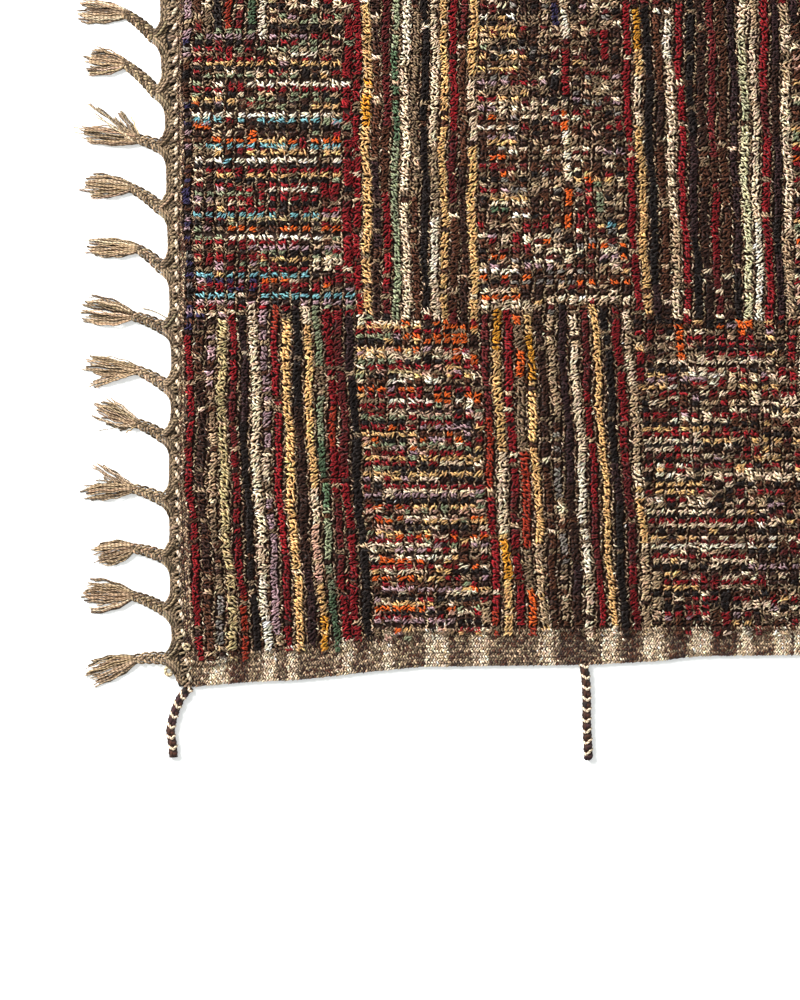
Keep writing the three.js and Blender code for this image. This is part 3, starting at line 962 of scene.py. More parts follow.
# %% Wools of a mixed block
STRETCHES = 3  # a level of a mixed block has up to this many stretches of one wool
KEPT = 0.5  # the share of a stretch's knots that have its wool
SECOND = 0.22  # and its second wool
CHARTED_KEPT = 0.85  # the share of a charted line's knots that have its wool
CHARTED_SLACK = 3  # how far a charted line can run over its ends


def dress_mixed(wools, rows, column, band):
    """Chooses the wools of a mixed block, level by level."""
    unseen = list(MIXES)[(2 * column + band) % len(MIXES)]
    choice = wools_of(MIXES[BLOCK_MIXES.get((column, band), unseen)])
    for level in range(len(levels)):
        ends = np.sort(rng.integers(0, len(rows), STRETCHES - 1))
        for stretch in np.split(rows, ends):
            first, second = rng.choice(choice, 2)
            luck = rng.random(len(stretch))
            found = np.where(luck < KEPT, first, rng.choice(choice, len(stretch)))
            wools[stretch, level] = np.where(luck > 1 - SECOND, second, found)


def dress_dots(wools, rows, dots):
    """Lays the charted dotted lines over a mixed block."""
    for photo_row, name, start, end in zip(*dots.values()):
        level = level_of(photo_row)
        x = knot_x[rows, level] + COLUMN_AT_ORIGIN
        within = (x > start - CHARTED_SLACK) & (x < end + CHARTED_SLACK)
        kept = within & (rng.random(len(rows)) < CHARTED_KEPT)
        wools[rows[kept], level] = wool(name)


# %% [markdown]
# ### All the blocks
#
# The blocks form a chequer, so a block is striped where its column and its band add up to an even
# number. The short charted runs come last, over everything.

# %% Wools of all the knots
RUN_REACH = 5  # from a charted run to the rows of knots that it takes
# The first row of the rug, where a block is mixed.
FIRST_ROW = wools_of("indigo*2 black*2 purple_black brown*3 tan grey mauve")

for column in range(len(COLUMN_ROWS)):
    rows = np.arange(FENCE_COUNTS[column], FENCE_COUNTS[column + 1])
    for band in range(3):
        wools = knot_wool.copy()
        if (column + band) % 2 == 0:
            dress_striped(wools, rows, stripe_wools(column, band))
        else:
            dress_mixed(wools, rows, column, band)
            if (column, band) in DOTTED:
                dress_dots(wools, rows, DOTTED[column, band])
            if column == 0:
                wools[0] = rng.choice(FIRST_ROW, len(levels))
        here = (knot_column == column) & (knot_band == band)
        knot_wool[here] = wools[here]

for photo_column, name, start, end in zip(*RUNS.values()):
    close = np.abs(knot_x + COLUMN_AT_ORIGIN - photo_column) < RUN_REACH
    within = (ROW_AT_ORIGIN - knot_y > start) & (ROW_AT_ORIGIN - knot_y < end)
    knot_wool[close & within & (rng.random(knot_x.shape) < CHARTED_KEPT)] = wool(name)
print("wools of knots in use:", len(np.unique(knot_wool[in_pile])))

# %% [markdown]
# ## Tufts
#
# A knot shows as a few locks of cut wool, side by side, that slant to both sides and stand about 12 mm
# high. One lock is modelled as a lozenge with a ridge along it: at this size it is two or three
# pixels wide, so its four triangles are enough. The ground yarn that shows between the rows is made of
# the same lock, a little lower, and so are the strokes of the flat weave further on.

# %% The small models
def pick_points(mesh, chosen):
    """Selects the points that a rule chooses, and leaves the model in edit mode."""
    bpy.ops.object.mode_set(mode="EDIT")
    bpy.ops.mesh.select_mode(type="VERT")
    bpy.ops.mesh.select_all(action="DESELECT")
    bpy.ops.object.mode_set(mode="OBJECT")
    for vertex in mesh.vertices:
        vertex.select = bool(chosen(vertex.co))
    bpy.ops.object.mode_set(mode="EDIT")


def model_lock():
    """A lock of wool, 1 wide, 1 long and 1 high: four points, of which the two far ones are raised."""
    bpy.ops.object.select_all(action="DESELECT")
    bpy.ops.mesh.primitive_circle_add(vertices=4, radius=0.5, location=(0, 0, 0))
    model = bpy.context.object
    pick_points(model.data, lambda place: abs(place.y) > 0.25)
    bpy.ops.transform.translate(value=(0, 0, 1))
    bpy.ops.mesh.select_all(action="SELECT")
    bpy.ops.mesh.convex_hull(join_triangles=False)
    bpy.ops.object.mode_set(mode="OBJECT")
    return arrays_of(model)


lock = model_lock()
print("triangles of a lock of wool:", len(lock[1]))

# %% The wools of the flat-woven bands
BAND_MIXES = {
    "dark": "brown*5 dark_brown*3 tan*4",
    "brown": "brown*2 tan*6 dark_brown beige*3",
    "tan": "tan*4 beige*3 brown cream*2",
    "beige": "cream*6 white*2 beige*3",
}
# Where the photograph's side band changes wool, by its column.
BAND_WOOLS = table("column wool", """
180 tan, 192 brown, 200 tan, 208 beige, 226 tan, 231 dark, 249 brown, 257 tan, 264 beige, 275 brown,
287 beige, 297 brown, 336 tan, 342 beige, 353 brown, 369 tan, 384 beige, 393 brown, 425 beige,
448 brown, 472 beige, 489 brown, 536 tan, 542 beige, 553 tan, 560 dark, 590 brown, 602 beige, 617 tan,
623 dark, 640 tan, 646 beige, 663 tan, 669 dark, 688 tan, 694 beige, 711 dark, 736 tan, 742 beige,
752 brown, 775 beige, 792 dark
""")


def band_wools(x, rng):
    """A wool of the side bands for each place along them."""
    at = COLUMN_AT_ORIGIN - np.abs(x) + rng.normal(0, 1, len(x))
    stretch = np.searchsorted(BAND_WOOLS["column"], at) - 1
    names = BAND_WOOLS["wool"][np.clip(stretch, 0, None)]
    wools = np.zeros(len(x), int)
    for name, mixed in BAND_MIXES.items():
        wools[names == name] = rng.choice(wools_of(mixed), (names == name).sum())
    return wools


def from_end(x, y):
    """How far a place is inside the pile, from its south or its north end."""
    return np.minimum(y - south_pile(x), -south_pile(-x) - y)


print("stretches of wool along the charted band:", len(BAND_WOOLS["wool"]))

# %% The locks of the knots
LOCK_FOOT = 5.4
KNOT_SHADE = [0.72, 0.64, 0.54]  # painted shade at a lock's foot, beside its tip: darker and warmer
KNOT_LOCKS = table("out along width length slant low", """
-1.9 -1.2 3 5 50 0.5
1.9 -1.2 3 5 50 0.5
-1.9 1.2 3 5 50 0.5
1.9 1.2 3 5 50 0.5
0 0 3.4 4.6 65 0
""")
LOCK_SIZES = (0.8, 1.15)  # smallest and largest, beside the size in the table
LOCK_SPREAD = 0.5
LOCK_LEAN = 0.08
TIP_SPREAD = 0.6
PALE = 0.3  # wools lighter than this are spun a little thicker
PALE_FATNESS = 1.12
SLANT_SPREAD = math.radians(22)
ODD_HANDS = 0.2  # the share of the knots that lean the other way
TAPER = 2.4  # how much lower the last knots of a row are
TAPER_REACH = 12


def knot_locks(column, rng):
    """The locks of the knots of one column of blocks, a part for each lock of a knot."""
    here = in_pile & (knot_column == column)
    x, y, own = knot_x[here], knot_y[here], WOOL_COLOURS[knot_wool[here]] * knot_light[here][:, None]
    count = len(x)
    row = np.nonzero(here)[0]
    hand = row_hands[row] * np.where(rng.random(count) < ODD_HANDS, -1, 1)
    fat = row_fatness[row] * np.where(own.mean(axis=1) > PALE, PALE_FATNESS, 1)
    lower = TAPER * np.clip(1 - from_end(x, y) / TAPER_REACH, 0, 1)
    parts = []
    for out, along, width, length, slant, low in zip(*KNOT_LOCKS.values()):
        places = np.column_stack([x + out * fat, y + along, np.full(count, LOCK_FOOT)])
        places[:, :2] += rng.normal(0, LOCK_SPREAD, (count, 2))
        widths = width * rng.uniform(*LOCK_SIZES, count)
        lengths = length * fat * rng.uniform(*LOCK_SIZES, count)
        heights = PILE_CREST - low - lower - LOCK_FOOT + rng.normal(0, TIP_SPREAD, count)
        sizes = np.column_stack([widths, lengths, heights])
        turns = math.radians(slant) * hand + rng.normal(0, SLANT_SPREAD, count)
        colours = uneven(rng, own, light=0.2, hue=0.04)
        leans = rng.normal(0, LOCK_LEAN, (count, 2))
        parts.append(copies(lock, places, sizes, turns, leans, colours, KNOT_SHADE))
    return parts


# %% [markdown]
# ### The ground between the rows
#
# Finer locks, in darker wools and with deeper painted shade at their feet, fill the gaps between the rows.
# Near the ends of the rows they take on the wools of the band, and between two rows of one wool they
# take on that wool.

# %% The ground between the rows
# Painted shade at the foot of a ground lock, deeper than at the foot of a knot's lock.
GROUND_SHADE = [0.51, 0.43, 0.34]
FADE = 22  # where the ground takes on the wools of the band
GROUND_WOOLS = wools_of("brown*4 dark_brown*2 tan*7 beige*5 cream*2")
GROUND_TOP = 10.6
GROUND_PITCH = 1.9
GROUND_WIDTHS = (1.8, 2.5)
GROUND_LENGTHS = (3.2, 4.6)
GROUND_SPREAD = (0.8, 0.5)  # across its line and along it
GROUND_SLANT = 0.7
GROUND_SLANT_SPREAD = 0.3
GROUND_LEAN = 0.1
# Lines between two rows of one wool, or nearly, which run together into one wide stripe.
WIDE_STRIPES = {14: "red", 16: "red", 55: "cream"}
WIDE_KEPT = 0.8  # the share of the ground there that has the wool of its rows


def ground_wools(x, y, number, rng):
    """The wools of the ground yarn: its own, the band's near an end, a row's in a wide stripe."""
    count = len(x)
    faded = from_end(x, y) < rng.uniform(0, FADE, count)
    wools = np.where(faded, band_wools(x, rng), rng.choice(GROUND_WOOLS, count))
    level = np.clip(np.round((y - levels[0]) / LEVEL_PITCH).astype(int), 0, len(levels) - 1)
    before = knot_wool[np.clip(number - 1, 0, ROWS - 1), level]
    for wide_line, name in WIDE_STRIPES.items():
        kept = rng.random(count) < WIDE_KEPT
        wools[(number == wide_line) & (before == wool(name)) & kept] = wool(name)
    return wools


def ground_locks(column, rng):
    """The ground yarn between the rows of one column of blocks."""
    lines = np.arange(FENCE_COUNTS[column], FENCE_COUNTS[column + 1] + (column == len(COLUMN_ROWS) - 1))
    line, y = np.meshgrid(lines, np.arange(-PILE_REACH, PILE_REACH, GROUND_PITCH), indexing="ij")
    across, along = GROUND_SPREAD
    y = (y + rng.normal(0, along, y.shape)).ravel()
    x = wandering(line.ravel(), y)
    inside = from_end(x, y) > RIM
    x, y, number = x[inside], y[inside], line.ravel()[inside]
    count = len(x)
    lower = TAPER / 2 * np.clip(1 - from_end(x, y) / TAPER_REACH, 0, 1)
    places = np.column_stack([x + rng.normal(0, across, count), y, np.full(count, LOCK_FOOT)])
    widths, lengths = (rng.uniform(*sizes, count) for sizes in (GROUND_WIDTHS, GROUND_LENGTHS))
    heights = GROUND_TOP - lower - LOCK_FOOT + rng.normal(0, TIP_SPREAD, count)
    sizes = np.column_stack([widths, lengths, heights])
    turns = GROUND_SLANT * rng.choice([-1, 1], count) + rng.normal(0, GROUND_SLANT_SPREAD, count)
    colours = uneven(rng, WOOL_COLOURS[ground_wools(x, y, number, rng)], light=0.25, hue=0.04)
    leans = rng.normal(0, GROUND_LEAN, (count, 2))
    return copies(lock, places, sizes, turns, leans, colours, GROUND_SHADE)


# %% [markdown]
# ### The columns of pile
#
# Each column of blocks becomes one piece, made of its knots and of the ground between them.

# %% The columns of pile
PILE_SEED = 20

for column in range(len(COLUMN_ROWS)):
    column_rng = np.random.default_rng(PILE_SEED + column)
    part = joined(knot_locks(column, column_rng) + [ground_locks(column, column_rng)])
    new_piece(f"pile_column_{column + 1}", part, knotted_wool)

# %% [markdown]
# ## The flat-woven bands
#
# Along both long sides the pile stops and only the ground is woven, with a thick weft that hides the
# warps. The weaver changes it every few centimetres, from brown to beige and back. Each place where the
# weft passes over a warp is a short slanting stroke, and the strokes of the next line lie between them
# and slant the other way. A narrow strip of the same weave, mixed from both wools, runs along each end.

# %% Strokes of weave
WEAVE_SEED = 40
WEAVE_PITCH = 2.7
WEAVE_LINES = 14  # across a side band
WEAVE_START = 0.4  # from the band's edge to its first line, in lines
STRIP_LINES = 4  # across the woven strip at an end
STRIP_LINE_START = 0.5
BAND_REACH = (-605, 607)  # along a side band
STRIP_REACH = (-500, 500)
STROKE_WIDTHS = (2.6, 3.4)
STROKE_LENGTHS = (3.8, 4.8)
STROKE_HEIGHTS = (0.8, 1.2)  # beside the usual one
STROKE_SPREAD = 0.25
STROKE_DEPTH = 0.6  # how far a stroke starts below the face of the cloth
WEAVE_RISE = 2.2
PILE_LIFT = 1.4  # the weave rises beside the pile
WEAVE_SLANT = 0.6
WEAVE_SLANT_SPREAD = 0.2
UNDER_PILE = 3  # how far the weave goes on under the outermost knots
# Painted shade at the foot of a stroke of weave.
WEAVE_SHADE = 0.5
STRIP_WOOLS = wools_of("brown*2 tan*5 beige*3 dark_brown")


def weave(x, y, line, ground, lift, wools, rng):
    """Strokes of weave at given places."""
    count = len(x)
    places = np.column_stack([x, y, np.broadcast_to(ground, count) - STROKE_DEPTH])
    places[:, :2] += rng.normal(0, STROKE_SPREAD, (count, 2))
    widths, lengths = (rng.uniform(*sizes, count) for sizes in (STROKE_WIDTHS, STROKE_LENGTHS))
    heights = WEAVE_RISE * rng.uniform(*STROKE_HEIGHTS, count) + lift
    sizes = np.column_stack([widths, lengths, heights])
    colours = uneven(rng, WOOL_COLOURS[wools], light=0.22, hue=0.03)
    turns = WEAVE_SLANT * np.where(line % 2, 1, -1) + rng.normal(0, WEAVE_SLANT_SPREAD, count)
    return copies(lock, places, sizes, turns, np.zeros((count, 2)), colours, WEAVE_SHADE)


def weave_places(lines, reach):
    """The line of each stroke and its place along it: every other line lies half a stroke further."""
    line, place = np.meshgrid(np.arange(lines), np.arange(*reach, WEAVE_PITCH), indexing="ij")
    return line.ravel(), (place + WEAVE_PITCH / 2 * (line % 2)).ravel()


def side_band(rng):
    """The weave of the south band."""
    line, x = weave_places(WEAVE_LINES, BAND_REACH)
    y = mix(south_edge(x), south_pile(x) + UNDER_PILE, (line + WEAVE_START) / WEAVE_LINES)
    share = (y - south_edge(x)) / (south_pile(x) - south_edge(x))
    ground = np.where(share < 1, mix(WEAVE_EDGE, WEAVE_TOP, share), PILE_BED)
    lift = PILE_LIFT * np.clip((share - 0.5) / 0.5, 0, 1) ** 2
    return weave(x, y, line, ground, lift, band_wools(x, rng), rng)


def end_strip(rng):
    """The weave of the west end, between the cloth's edge and the first row of knots."""
    line, y = weave_places(STRIP_LINES, STRIP_REACH)
    x = mix(west_cloth(y), row_line(0, y), (line + STRIP_LINE_START) / STRIP_LINES)
    return weave(x, y, line, WEAVE_TOP, 0, rng.choice(STRIP_WOOLS, len(x)), rng)


weave_pieces = []
for kind, make, ends in (("band", side_band, ("south", "north")), ("strip", end_strip, ("west", "east"))):
    for end, turn in zip(ends, (as_made, half_turned)):
        part = turn(make(np.random.default_rng(WEAVE_SEED + len(weave_pieces))))
        weave_pieces.append(new_piece(f"woven_{kind}_{end}", part, woven_wool))
print("the weave has", sum(triangles_made[piece.name] for piece in weave_pieces), "triangles")

# %% [markdown]
# ## The plaited ends
#
# Where the weaving stops the warps are left long. They leave the cloth as short stubs and go into a flat
# plait of three strands, two yarns each, along the whole edge. Every 55 mm or so some yarns turn out of
# it into the neck of a tassel. Cream stitches hold the seam, and two small loops and a few stray yarns
# lie beside it. A low strip lies below, dark with painted shade, so that no floor shows between the yarns.

# %% Sizes of the tassels
TASSELS = table("y neck_x neck_y tuft_x tuft_y spread", """
-491 -35 -1 -42 -15 24
-442 -35 15 -44 -1 30
-389 -33 9 -34 -8 25
-332 -33 12 -43 -4 17
-269 -30 15 -36 15 21
-218 -31 17 -46 5 20
-160 -34 13 -45 6 30
-100 -27 21 -46 1 20
-40 -32 22 -43 1 24
22 -24 8 -54 6 20
75 -34 31 -35 2 25
131 -30 25 -44 2 23
190 -32 18 -44 6 26
248 -33 14 -42 -3 28
306 -31 20 -45 3 24
364 -34 12 -43 1 30
420 -32 10 -44 5 26
474 -30 8 -42 8 24
""")
# Some tufts have parted: a few of their yarns lie apart from the others.
PARTED = table("y tuft_x tuft_y spread yarns", """
-332 -34 22 9 11
-269 -14 -6 9 7
-218 -44 -16 7 11
22 -46 33 8 6
22 -18 24 16 10
""")
PULL = 5  # how far a tassel draws out the edge
PULL_REACH = 11
STRIP_START = -519
STRIP_END = 505
STRIP_STEP = 8
ROOT_REACH = 14  # how much of the edge, to both sides, a tassel has to clear


def strip_outer(y):
    """x of the outer edge of the west strip, drawn out by the tassels."""
    drawn = np.exp(-(((np.asarray(y, float)[..., None] - TASSELS["y"]) / PULL_REACH) ** 2))
    return read(END_STRIP, "y", y, "outer") - PULL * drawn.max(axis=-1)


def tassel_root(y):
    """Where a tassel starts, just outside the strip."""
    beside = np.arange(STRIP_START, STRIP_END + 1, STRIP_STEP)
    beside = beside[np.abs(beside - y) < ROOT_REACH]
    return np.array([strip_outer(beside).min() - GAP, y])


# %% The strip under the yarns
STRIP_SECTION = table("across height", "0.04 0, 0.06 3.6, 0.5 5.6, 0.98 4.2, 0.99 0")
# Painted shade: the strip's dark colour stands for the shade between the yarns that lie on it.
STRIP_SHADE = linear("2a211a")


def under_strip():
    """One closed strip with a low round top."""
    y = np.arange(STRIP_START, STRIP_END + 1, STRIP_STEP).astype(float)
    outer, inner = strip_outer(y), strip_inner(y)
    x = mix(outer[:, None], inner[:, None], STRIP_SECTION["across"])
    z = np.broadcast_to(STRIP_SECTION["height"], x.shape)
    points = np.stack([x, np.broadcast_to(y[:, None], x.shape), z], axis=2)
    number = np.arange(x.size).reshape(x.shape)
    after = np.roll(number, -1, axis=1)
    walls = np.stack([number[:-1], number[1:], after[1:], after[:-1]], axis=2)
    caps = np.stack([number[0], number[-1, ::-1]])
    faces = [walls.reshape(-1, 4), caps]
    return {
        "points": points.reshape(-1, 3),
        "faces": faces,
        "colours": np.tile(STRIP_SHADE, (x.size, 1)),
        "plies": [np.zeros((block.size, 2)) for block in faces],
    }


# %% Warp yarns and their bends
WARP_WOOLS = wools_of("beige*5 tan*2")
TUFT_WOOLS = wools_of("beige*6 cream tan")
PLAIT_SHADE = 0.54  # the warps along the edge are darker than those of the tassels
GREIGE = np.array([0.9, 0.88, 0.85])  # the warps are a little greyer than the beige of the pile
YARN_HEIGHT = 2.6


def warp_colours(rng, count, wools=WARP_WOOLS):
    return uneven(rng, WOOL_COLOURS[rng.choice(wools, count)] * GREIGE, light=0.15, hue=0.03)


def point_lines(x, y, z):
    """Points, an array (yarns, 3), some of whose coordinates may be one number for all of them."""
    return np.column_stack(np.broadcast_arrays(x, y, z))


def bent(first, middle, last, steps):
    """Smooth lines from first by middle to last, arrays (yarns, 3)."""
    share = np.linspace(0, 1, steps)[None, :, None]
    first, middle, last = (point[:, None] for point in (first, middle, last))
    return first * (1 - share) ** 2 + 2 * middle * share * (1 - share) + last * share**2


# %% [markdown]
# ### The plait along the edge
#
# The plait is as wide as the strip lets it be, and each of its strands is two yarns side by side.

# %% The plait along the edge
BRAID_ENDS = 3  # how far the plait stops short of the strip's ends
BRAID_INSET = 0.3
BRAID_MARGIN = 2.5  # how much narrower than the strip it is
BRAID_WIDTHS = (6, 11)
BRAID_STEP = 2.4
BRAID_PERIOD = 19
BRAID_HEIGHT = 6
BRAID_LIFT = 2
BRAID_STRAND = 5.2
BRAID_STRAND_HEIGHT = 3
BRAID_YARN = 3
BRAID_YARN_HEIGHT = 2.8
BRAID_YARN_ASIDE = 1.4  # from the middle of a strand to each of its yarns


def edge_braid(rng):
    """A flat plait along the whole edge, of three strands with two yarns each."""
    y = np.arange(STRIP_END - BRAID_ENDS, STRIP_START + BRAID_ENDS, -BRAID_STEP)
    outer, inner = strip_outer(y), strip_inner(y)
    widths = np.clip(inner - outer - BRAID_MARGIN, *BRAID_WIDTHS)
    route = np.column_stack([outer + BRAID_INSET + widths / 2, y])
    heights = np.full(len(y), float(BRAID_HEIGHT))
    lines, aside = plait(route, widths, heights, BRAID_STRAND, BRAID_STRAND_HEIGHT, BRAID_PERIOD)
    lines[..., 2] += BRAID_LIFT
    shades = warp_colours(rng, 6) * PLAIT_SHADE
    pairs = [(lines - BRAID_YARN_ASIDE * aside, shades[:3]), (lines + BRAID_YARN_ASIDE * aside, shades[3:])]
    return joined([yarn(strands, BRAID_YARN, BRAID_YARN_HEIGHT, colours) for strands, colours in pairs])


# %% [markdown]
# ### Stubs and bundles
#
# The stubs come out of the cloth and dip under the plait. At each tassel three yarns from either side
# turn out and dive into its neck.

# %% Stubs and bundles
STUB_PITCH = 4.2  # between the pairs of warps where they leave the cloth
STUB_ENDS = (6, 4)  # how far from the strip's ends the first and the last can be
STUB_WIDTH = 3.2
STUB_REACHES = (3.5, 7.5)  # how far a stub goes over the strip
STUB_SLOPES = (0.2, 1.2)
STUB_START = 1.2  # how far inside the cloth's edge it comes up
STUB_HEIGHTS = (5.0, 6.0)  # of its first point and of its last one
STUB_ARCH = 3.4
BUNDLES = [(1, 3), (-1, 3)]  # the side that a bundle comes from, and its yarns
BUNDLE_REACH = 17
BUNDLE_WIDTH = 3
BUNDLE_PITCH = 3.1
BUNDLE_INSET = 1.8
BUNDLE_TURN = (8.5, 0.9)  # where a bundle turns, beside its tassel, and how much nearer the next yarn does
BUNDLE_END = (5, 2.8)  # the same where it goes into the neck
BUNDLE_INTO_NECK = 2
BUNDLE_HEIGHTS = (5.0, 12.5, 5.0)
BUNDLE_STEPS = 9
BUNDLE_SPREAD = 0.25


def warp_stubs(rng):
    """The warps where they leave the cloth and go under the plait."""
    before, after = STUB_ENDS
    y = np.arange(STRIP_START + before, STRIP_END - after, STUB_PITCH)
    y = y + rng.normal(0, 0.5, len(y))
    inner = strip_inner(y)
    reach = rng.uniform(*STUB_REACHES, len(y))
    slope = rng.uniform(*STUB_SLOPES, len(y))
    first = point_lines(inner + STUB_START, y, STUB_HEIGHTS[0])
    last = point_lines(inner - reach, y - slope * reach, STUB_HEIGHTS[1])
    middle = (first + last) / 2 + [0, 0, STUB_ARCH]
    colours = warp_colours(rng, len(y)) * PLAIT_SHADE
    return yarn(bent(first, middle, last, 5), STUB_WIDTH, YARN_HEIGHT, colours)


def bundles(rng):
    """At each tassel, yarns that come along the edge from both sides and turn out into its neck."""
    parts = []
    for y in TASSELS["y"]:
        root = tassel_root(y)
        for side, yarns in BUNDLES:
            k = np.arange(yarns)
            far = np.full(yarns, y + side * BUNDLE_REACH)
            near, end = (y + side * (start - step * k) for start, step in (BUNDLE_TURN, BUNDLE_END))
            inward = BUNDLE_INSET + BUNDLE_PITCH * k
            first = point_lines(strip_outer(far) + inward, far, BUNDLE_HEIGHTS[0])
            middle = point_lines(strip_outer(near) + inward, near, BUNDLE_HEIGHTS[1])
            last = point_lines(root[0] - BUNDLE_INTO_NECK, end, BUNDLE_HEIGHTS[2])
            lines = bent(first, middle, last, BUNDLE_STEPS)
            lines = lines + rng.normal(0, BUNDLE_SPREAD, lines.shape)
            parts.append(yarn(lines, BUNDLE_WIDTH, YARN_HEIGHT, warp_colours(rng, yarns) * PLAIT_SHADE))
    return joined(parts)


# %% Stitches over the seam
STITCH_PITCH = 15.5
STITCH_LENGTH = 9.5
STITCH_LENGTHS = (0.85, 1.15)  # beside the usual one
STITCH_ENDS = (9, 6)  # how far from the strip's ends the first and the last can be
STITCH_HEIGHTS = (5.5, 11)  # of both ends and of the middle point that bends it
STITCH_WIDTHS = np.array([1.6, 3.8, 4.8, 4.8, 3.8, 1.6])
STITCH_SHADE = 0.78
STITCH_TURN = table("y lean", "-519 -0.5, -150 -0.45, 0 0.1, 120 0.5, 505 0.5")


def stitches(rng):
    """Fat cream stitches over the seam of strip and cloth."""
    before, after = STITCH_ENDS
    y = np.arange(STRIP_START + before, STRIP_END - after, STITCH_PITCH)
    y = y + rng.normal(0, 1, len(y))
    lean = read(STITCH_TURN, "y", y, "lean") + rng.normal(0, 0.08, len(y))
    long = STITCH_LENGTH * rng.uniform(*STITCH_LENGTHS, len(y)) / 2
    x = west_cloth(y)
    low, high = STITCH_HEIGHTS
    first = point_lines(x - lean * long, y - long, low)
    last = point_lines(x + lean * long, y + long, low)
    colours = WOOL_COLOURS[wools_of("cream")].repeat(len(y), axis=0) * STITCH_SHADE
    colours = uneven(rng, colours, light=0.12, hue=0.02)
    lines = bent(first, point_lines(x, y, high), last, len(STITCH_WIDTHS))
    return yarn(lines, STITCH_WIDTHS, YARN_HEIGHT, colours)


# %% Loops and stray yarns
PLAIT_SEED = 50
LOOPS = table("column row up wide long thick", "186.5 647 8.5 6.5 5.5 3, 168.3 671.5 3.2 7 8.5 4.6")
LOOP_TURN = 0.94 * TURN
LOOP_STEPS = 12
LOOP_RISE = 0.8
OLIVE = np.array([0.68, 0.67, 0.56])
# Single yarns that stand out from the others, each by three points of the photograph.
STRAYS = table("start_x start_y middle_x middle_y end_x end_y thick", """
168 319 154 309 142 308 1.6
128 424 113 429 98 430 1.3
113 586 100 584 87 583 2
110 588 99 587 91 584 1.8
""")
STRAY_HEIGHTS = {"start": 4.5, "middle": 3.5, "end": 1.2}
STRAY_STEPS = 9
STRAY_SHADE = 0.7


def ring(centre_x, centre_y, up, wide, long, thick, rng):
    """A small loop of cream yarn by the edge, its ends tucked in."""
    angle = np.linspace(0, LOOP_TURN, LOOP_STEPS)
    x = centre_x - COLUMN_AT_ORIGIN + wide / 2 * np.cos(angle)
    y = ROW_AT_ORIGIN - centre_y + long / 2 * np.sin(angle)
    lines = np.column_stack([x, y, up + LOOP_RISE * np.sin(angle)])[None]
    colours = uneven(rng, WOOL_COLOURS[wools_of("cream")] * OLIVE, light=0.03, hue=0.02)
    return yarn(lines, thick, thick, colours)


def strays(rng):
    """A few yarns that have slipped out of the plait or of a tassel."""
    points = [
        point_lines(STRAYS[at + "_x"] - COLUMN_AT_ORIGIN, ROW_AT_ORIGIN - STRAYS[at + "_y"], up)
        for at, up in STRAY_HEIGHTS.items()
    ]
    thick = STRAYS["thick"][:, None]
    return yarn(bent(*points, STRAY_STEPS), thick, thick, warp_colours(rng, len(thick)) * STRAY_SHADE)


def end_plait(rng):
    """All that lies on one end's edge."""
    rings = [ring(*row, rng) for row in zip(*LOOPS.values())]
    yarns = [edge_braid(rng), warp_stubs(rng), bundles(rng), stitches(rng), strays(rng)]
    return joined([under_strip()] + yarns + rings)


for number, (end, turn) in enumerate([("west", as_made), ("east", half_turned)]):
    part = turn(end_plait(np.random.default_rng(PLAIT_SEED + number)))
    plaited = new_piece(f"plaited_edge_{end}", part, warp_yarn)
    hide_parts(f"end_plait_{end}")
    print(plaited.name, "has", triangles_made[plaited.name], "triangles")

# %% [markdown]
# ## Tassels
#
# Each tassel starts as a plait of three strands, about 35 mm long and getting thinner, and every strand
# is two yarns here. Then the yarns are left loose, as a flat tuft that opens like a brush. They start
# side by side, bulge outwards, and end unevenly on the floor.

# %% The neck of a tassel
NECK_SIZES = table("along width height", "0 15 8, 0.4 14 8.5, 0.8 12 8, 1 11 7")
NECK_STEPS = 24
NECK_PERIODS = (17, 24)
NECK_SAG = 0.04  # how far it bends aside, beside its length
NECK_YARN = 3
NECK_SHADE = 0.7
STRAND_WIDTH = 5.4
STRAND_HEIGHT = 3.4
STRAND_YARNS = (-1.3, 1.3)


def neck(root, way, rng):
    """The plaited part of a tassel."""
    share = np.linspace(0, 1, NECK_STEPS)
    sag = NECK_SAG * np.sin(math.pi * share)[:, None] * np.array([way[1], -way[0]])
    route = root + share[:, None] * way + sag
    widths, heights = (read(NECK_SIZES, "along", share, size) for size in ("width", "height"))
    lines, aside = plait(route, widths, heights, STRAND_WIDTH, STRAND_HEIGHT, rng.uniform(*NECK_PERIODS))
    yarns = [(lines + aside * out, warp_colours(rng, 3) * NECK_SHADE) for out in STRAND_YARNS]
    return joined([yarn(strands, NECK_YARN, NECK_YARN, colours) for strands, colours in yarns])


# %% [markdown]
# ### The tuft
#
# Each loose yarn is a bent line from the neck to the floor, with a slight wave. They lie in three
# layers, and the outermost are a little shorter.

# %% The tuft of a tassel
TUFT_YARNS = 38
TUFT_STEPS = 10
TUFT_START = (8, 2)  # how wide the yarns start, and how far inside the neck
TUFT_BULGE = (0.36, 1.1)  # where along it the tuft bulges, and how wide, beside its end
TUFT_SPREADS = (1.2, 0.8)  # of the yarns, at the bulge and at their ends
TUFT_TAPER = 0.85
TRIM_SPREAD = 0.08
TRIM_ROUND = 0.16  # how much shorter the outermost yarns are
CLUMP_SIZE = 0.08  # how far yarns draw together at their ends, beside the width of the tuft
CLUMPS = 1.6
# The yarns of a tuft lie in three layers; the lowest are wide, and their colour is darkened as painted
# shade from the others.
LAYER_WIDTHS = np.array([3, 2, 1.8])
LAYER_SHADES = np.array([0.42, 0.85, 1])
# The height of the lowest layer and of each one above it, at the start, the bulge and the end.
LAYER_HEIGHTS = table("lowest next", "2.6 1.5, 2.2 2.2, 1.1 0.5")
WIDTH_SPREAD = (0.85, 1.15)
LARGEST_HEIGHT = 2
FLATNESS = 0.9
WAVES = 2.3
WAVE_SIZE = 0.7


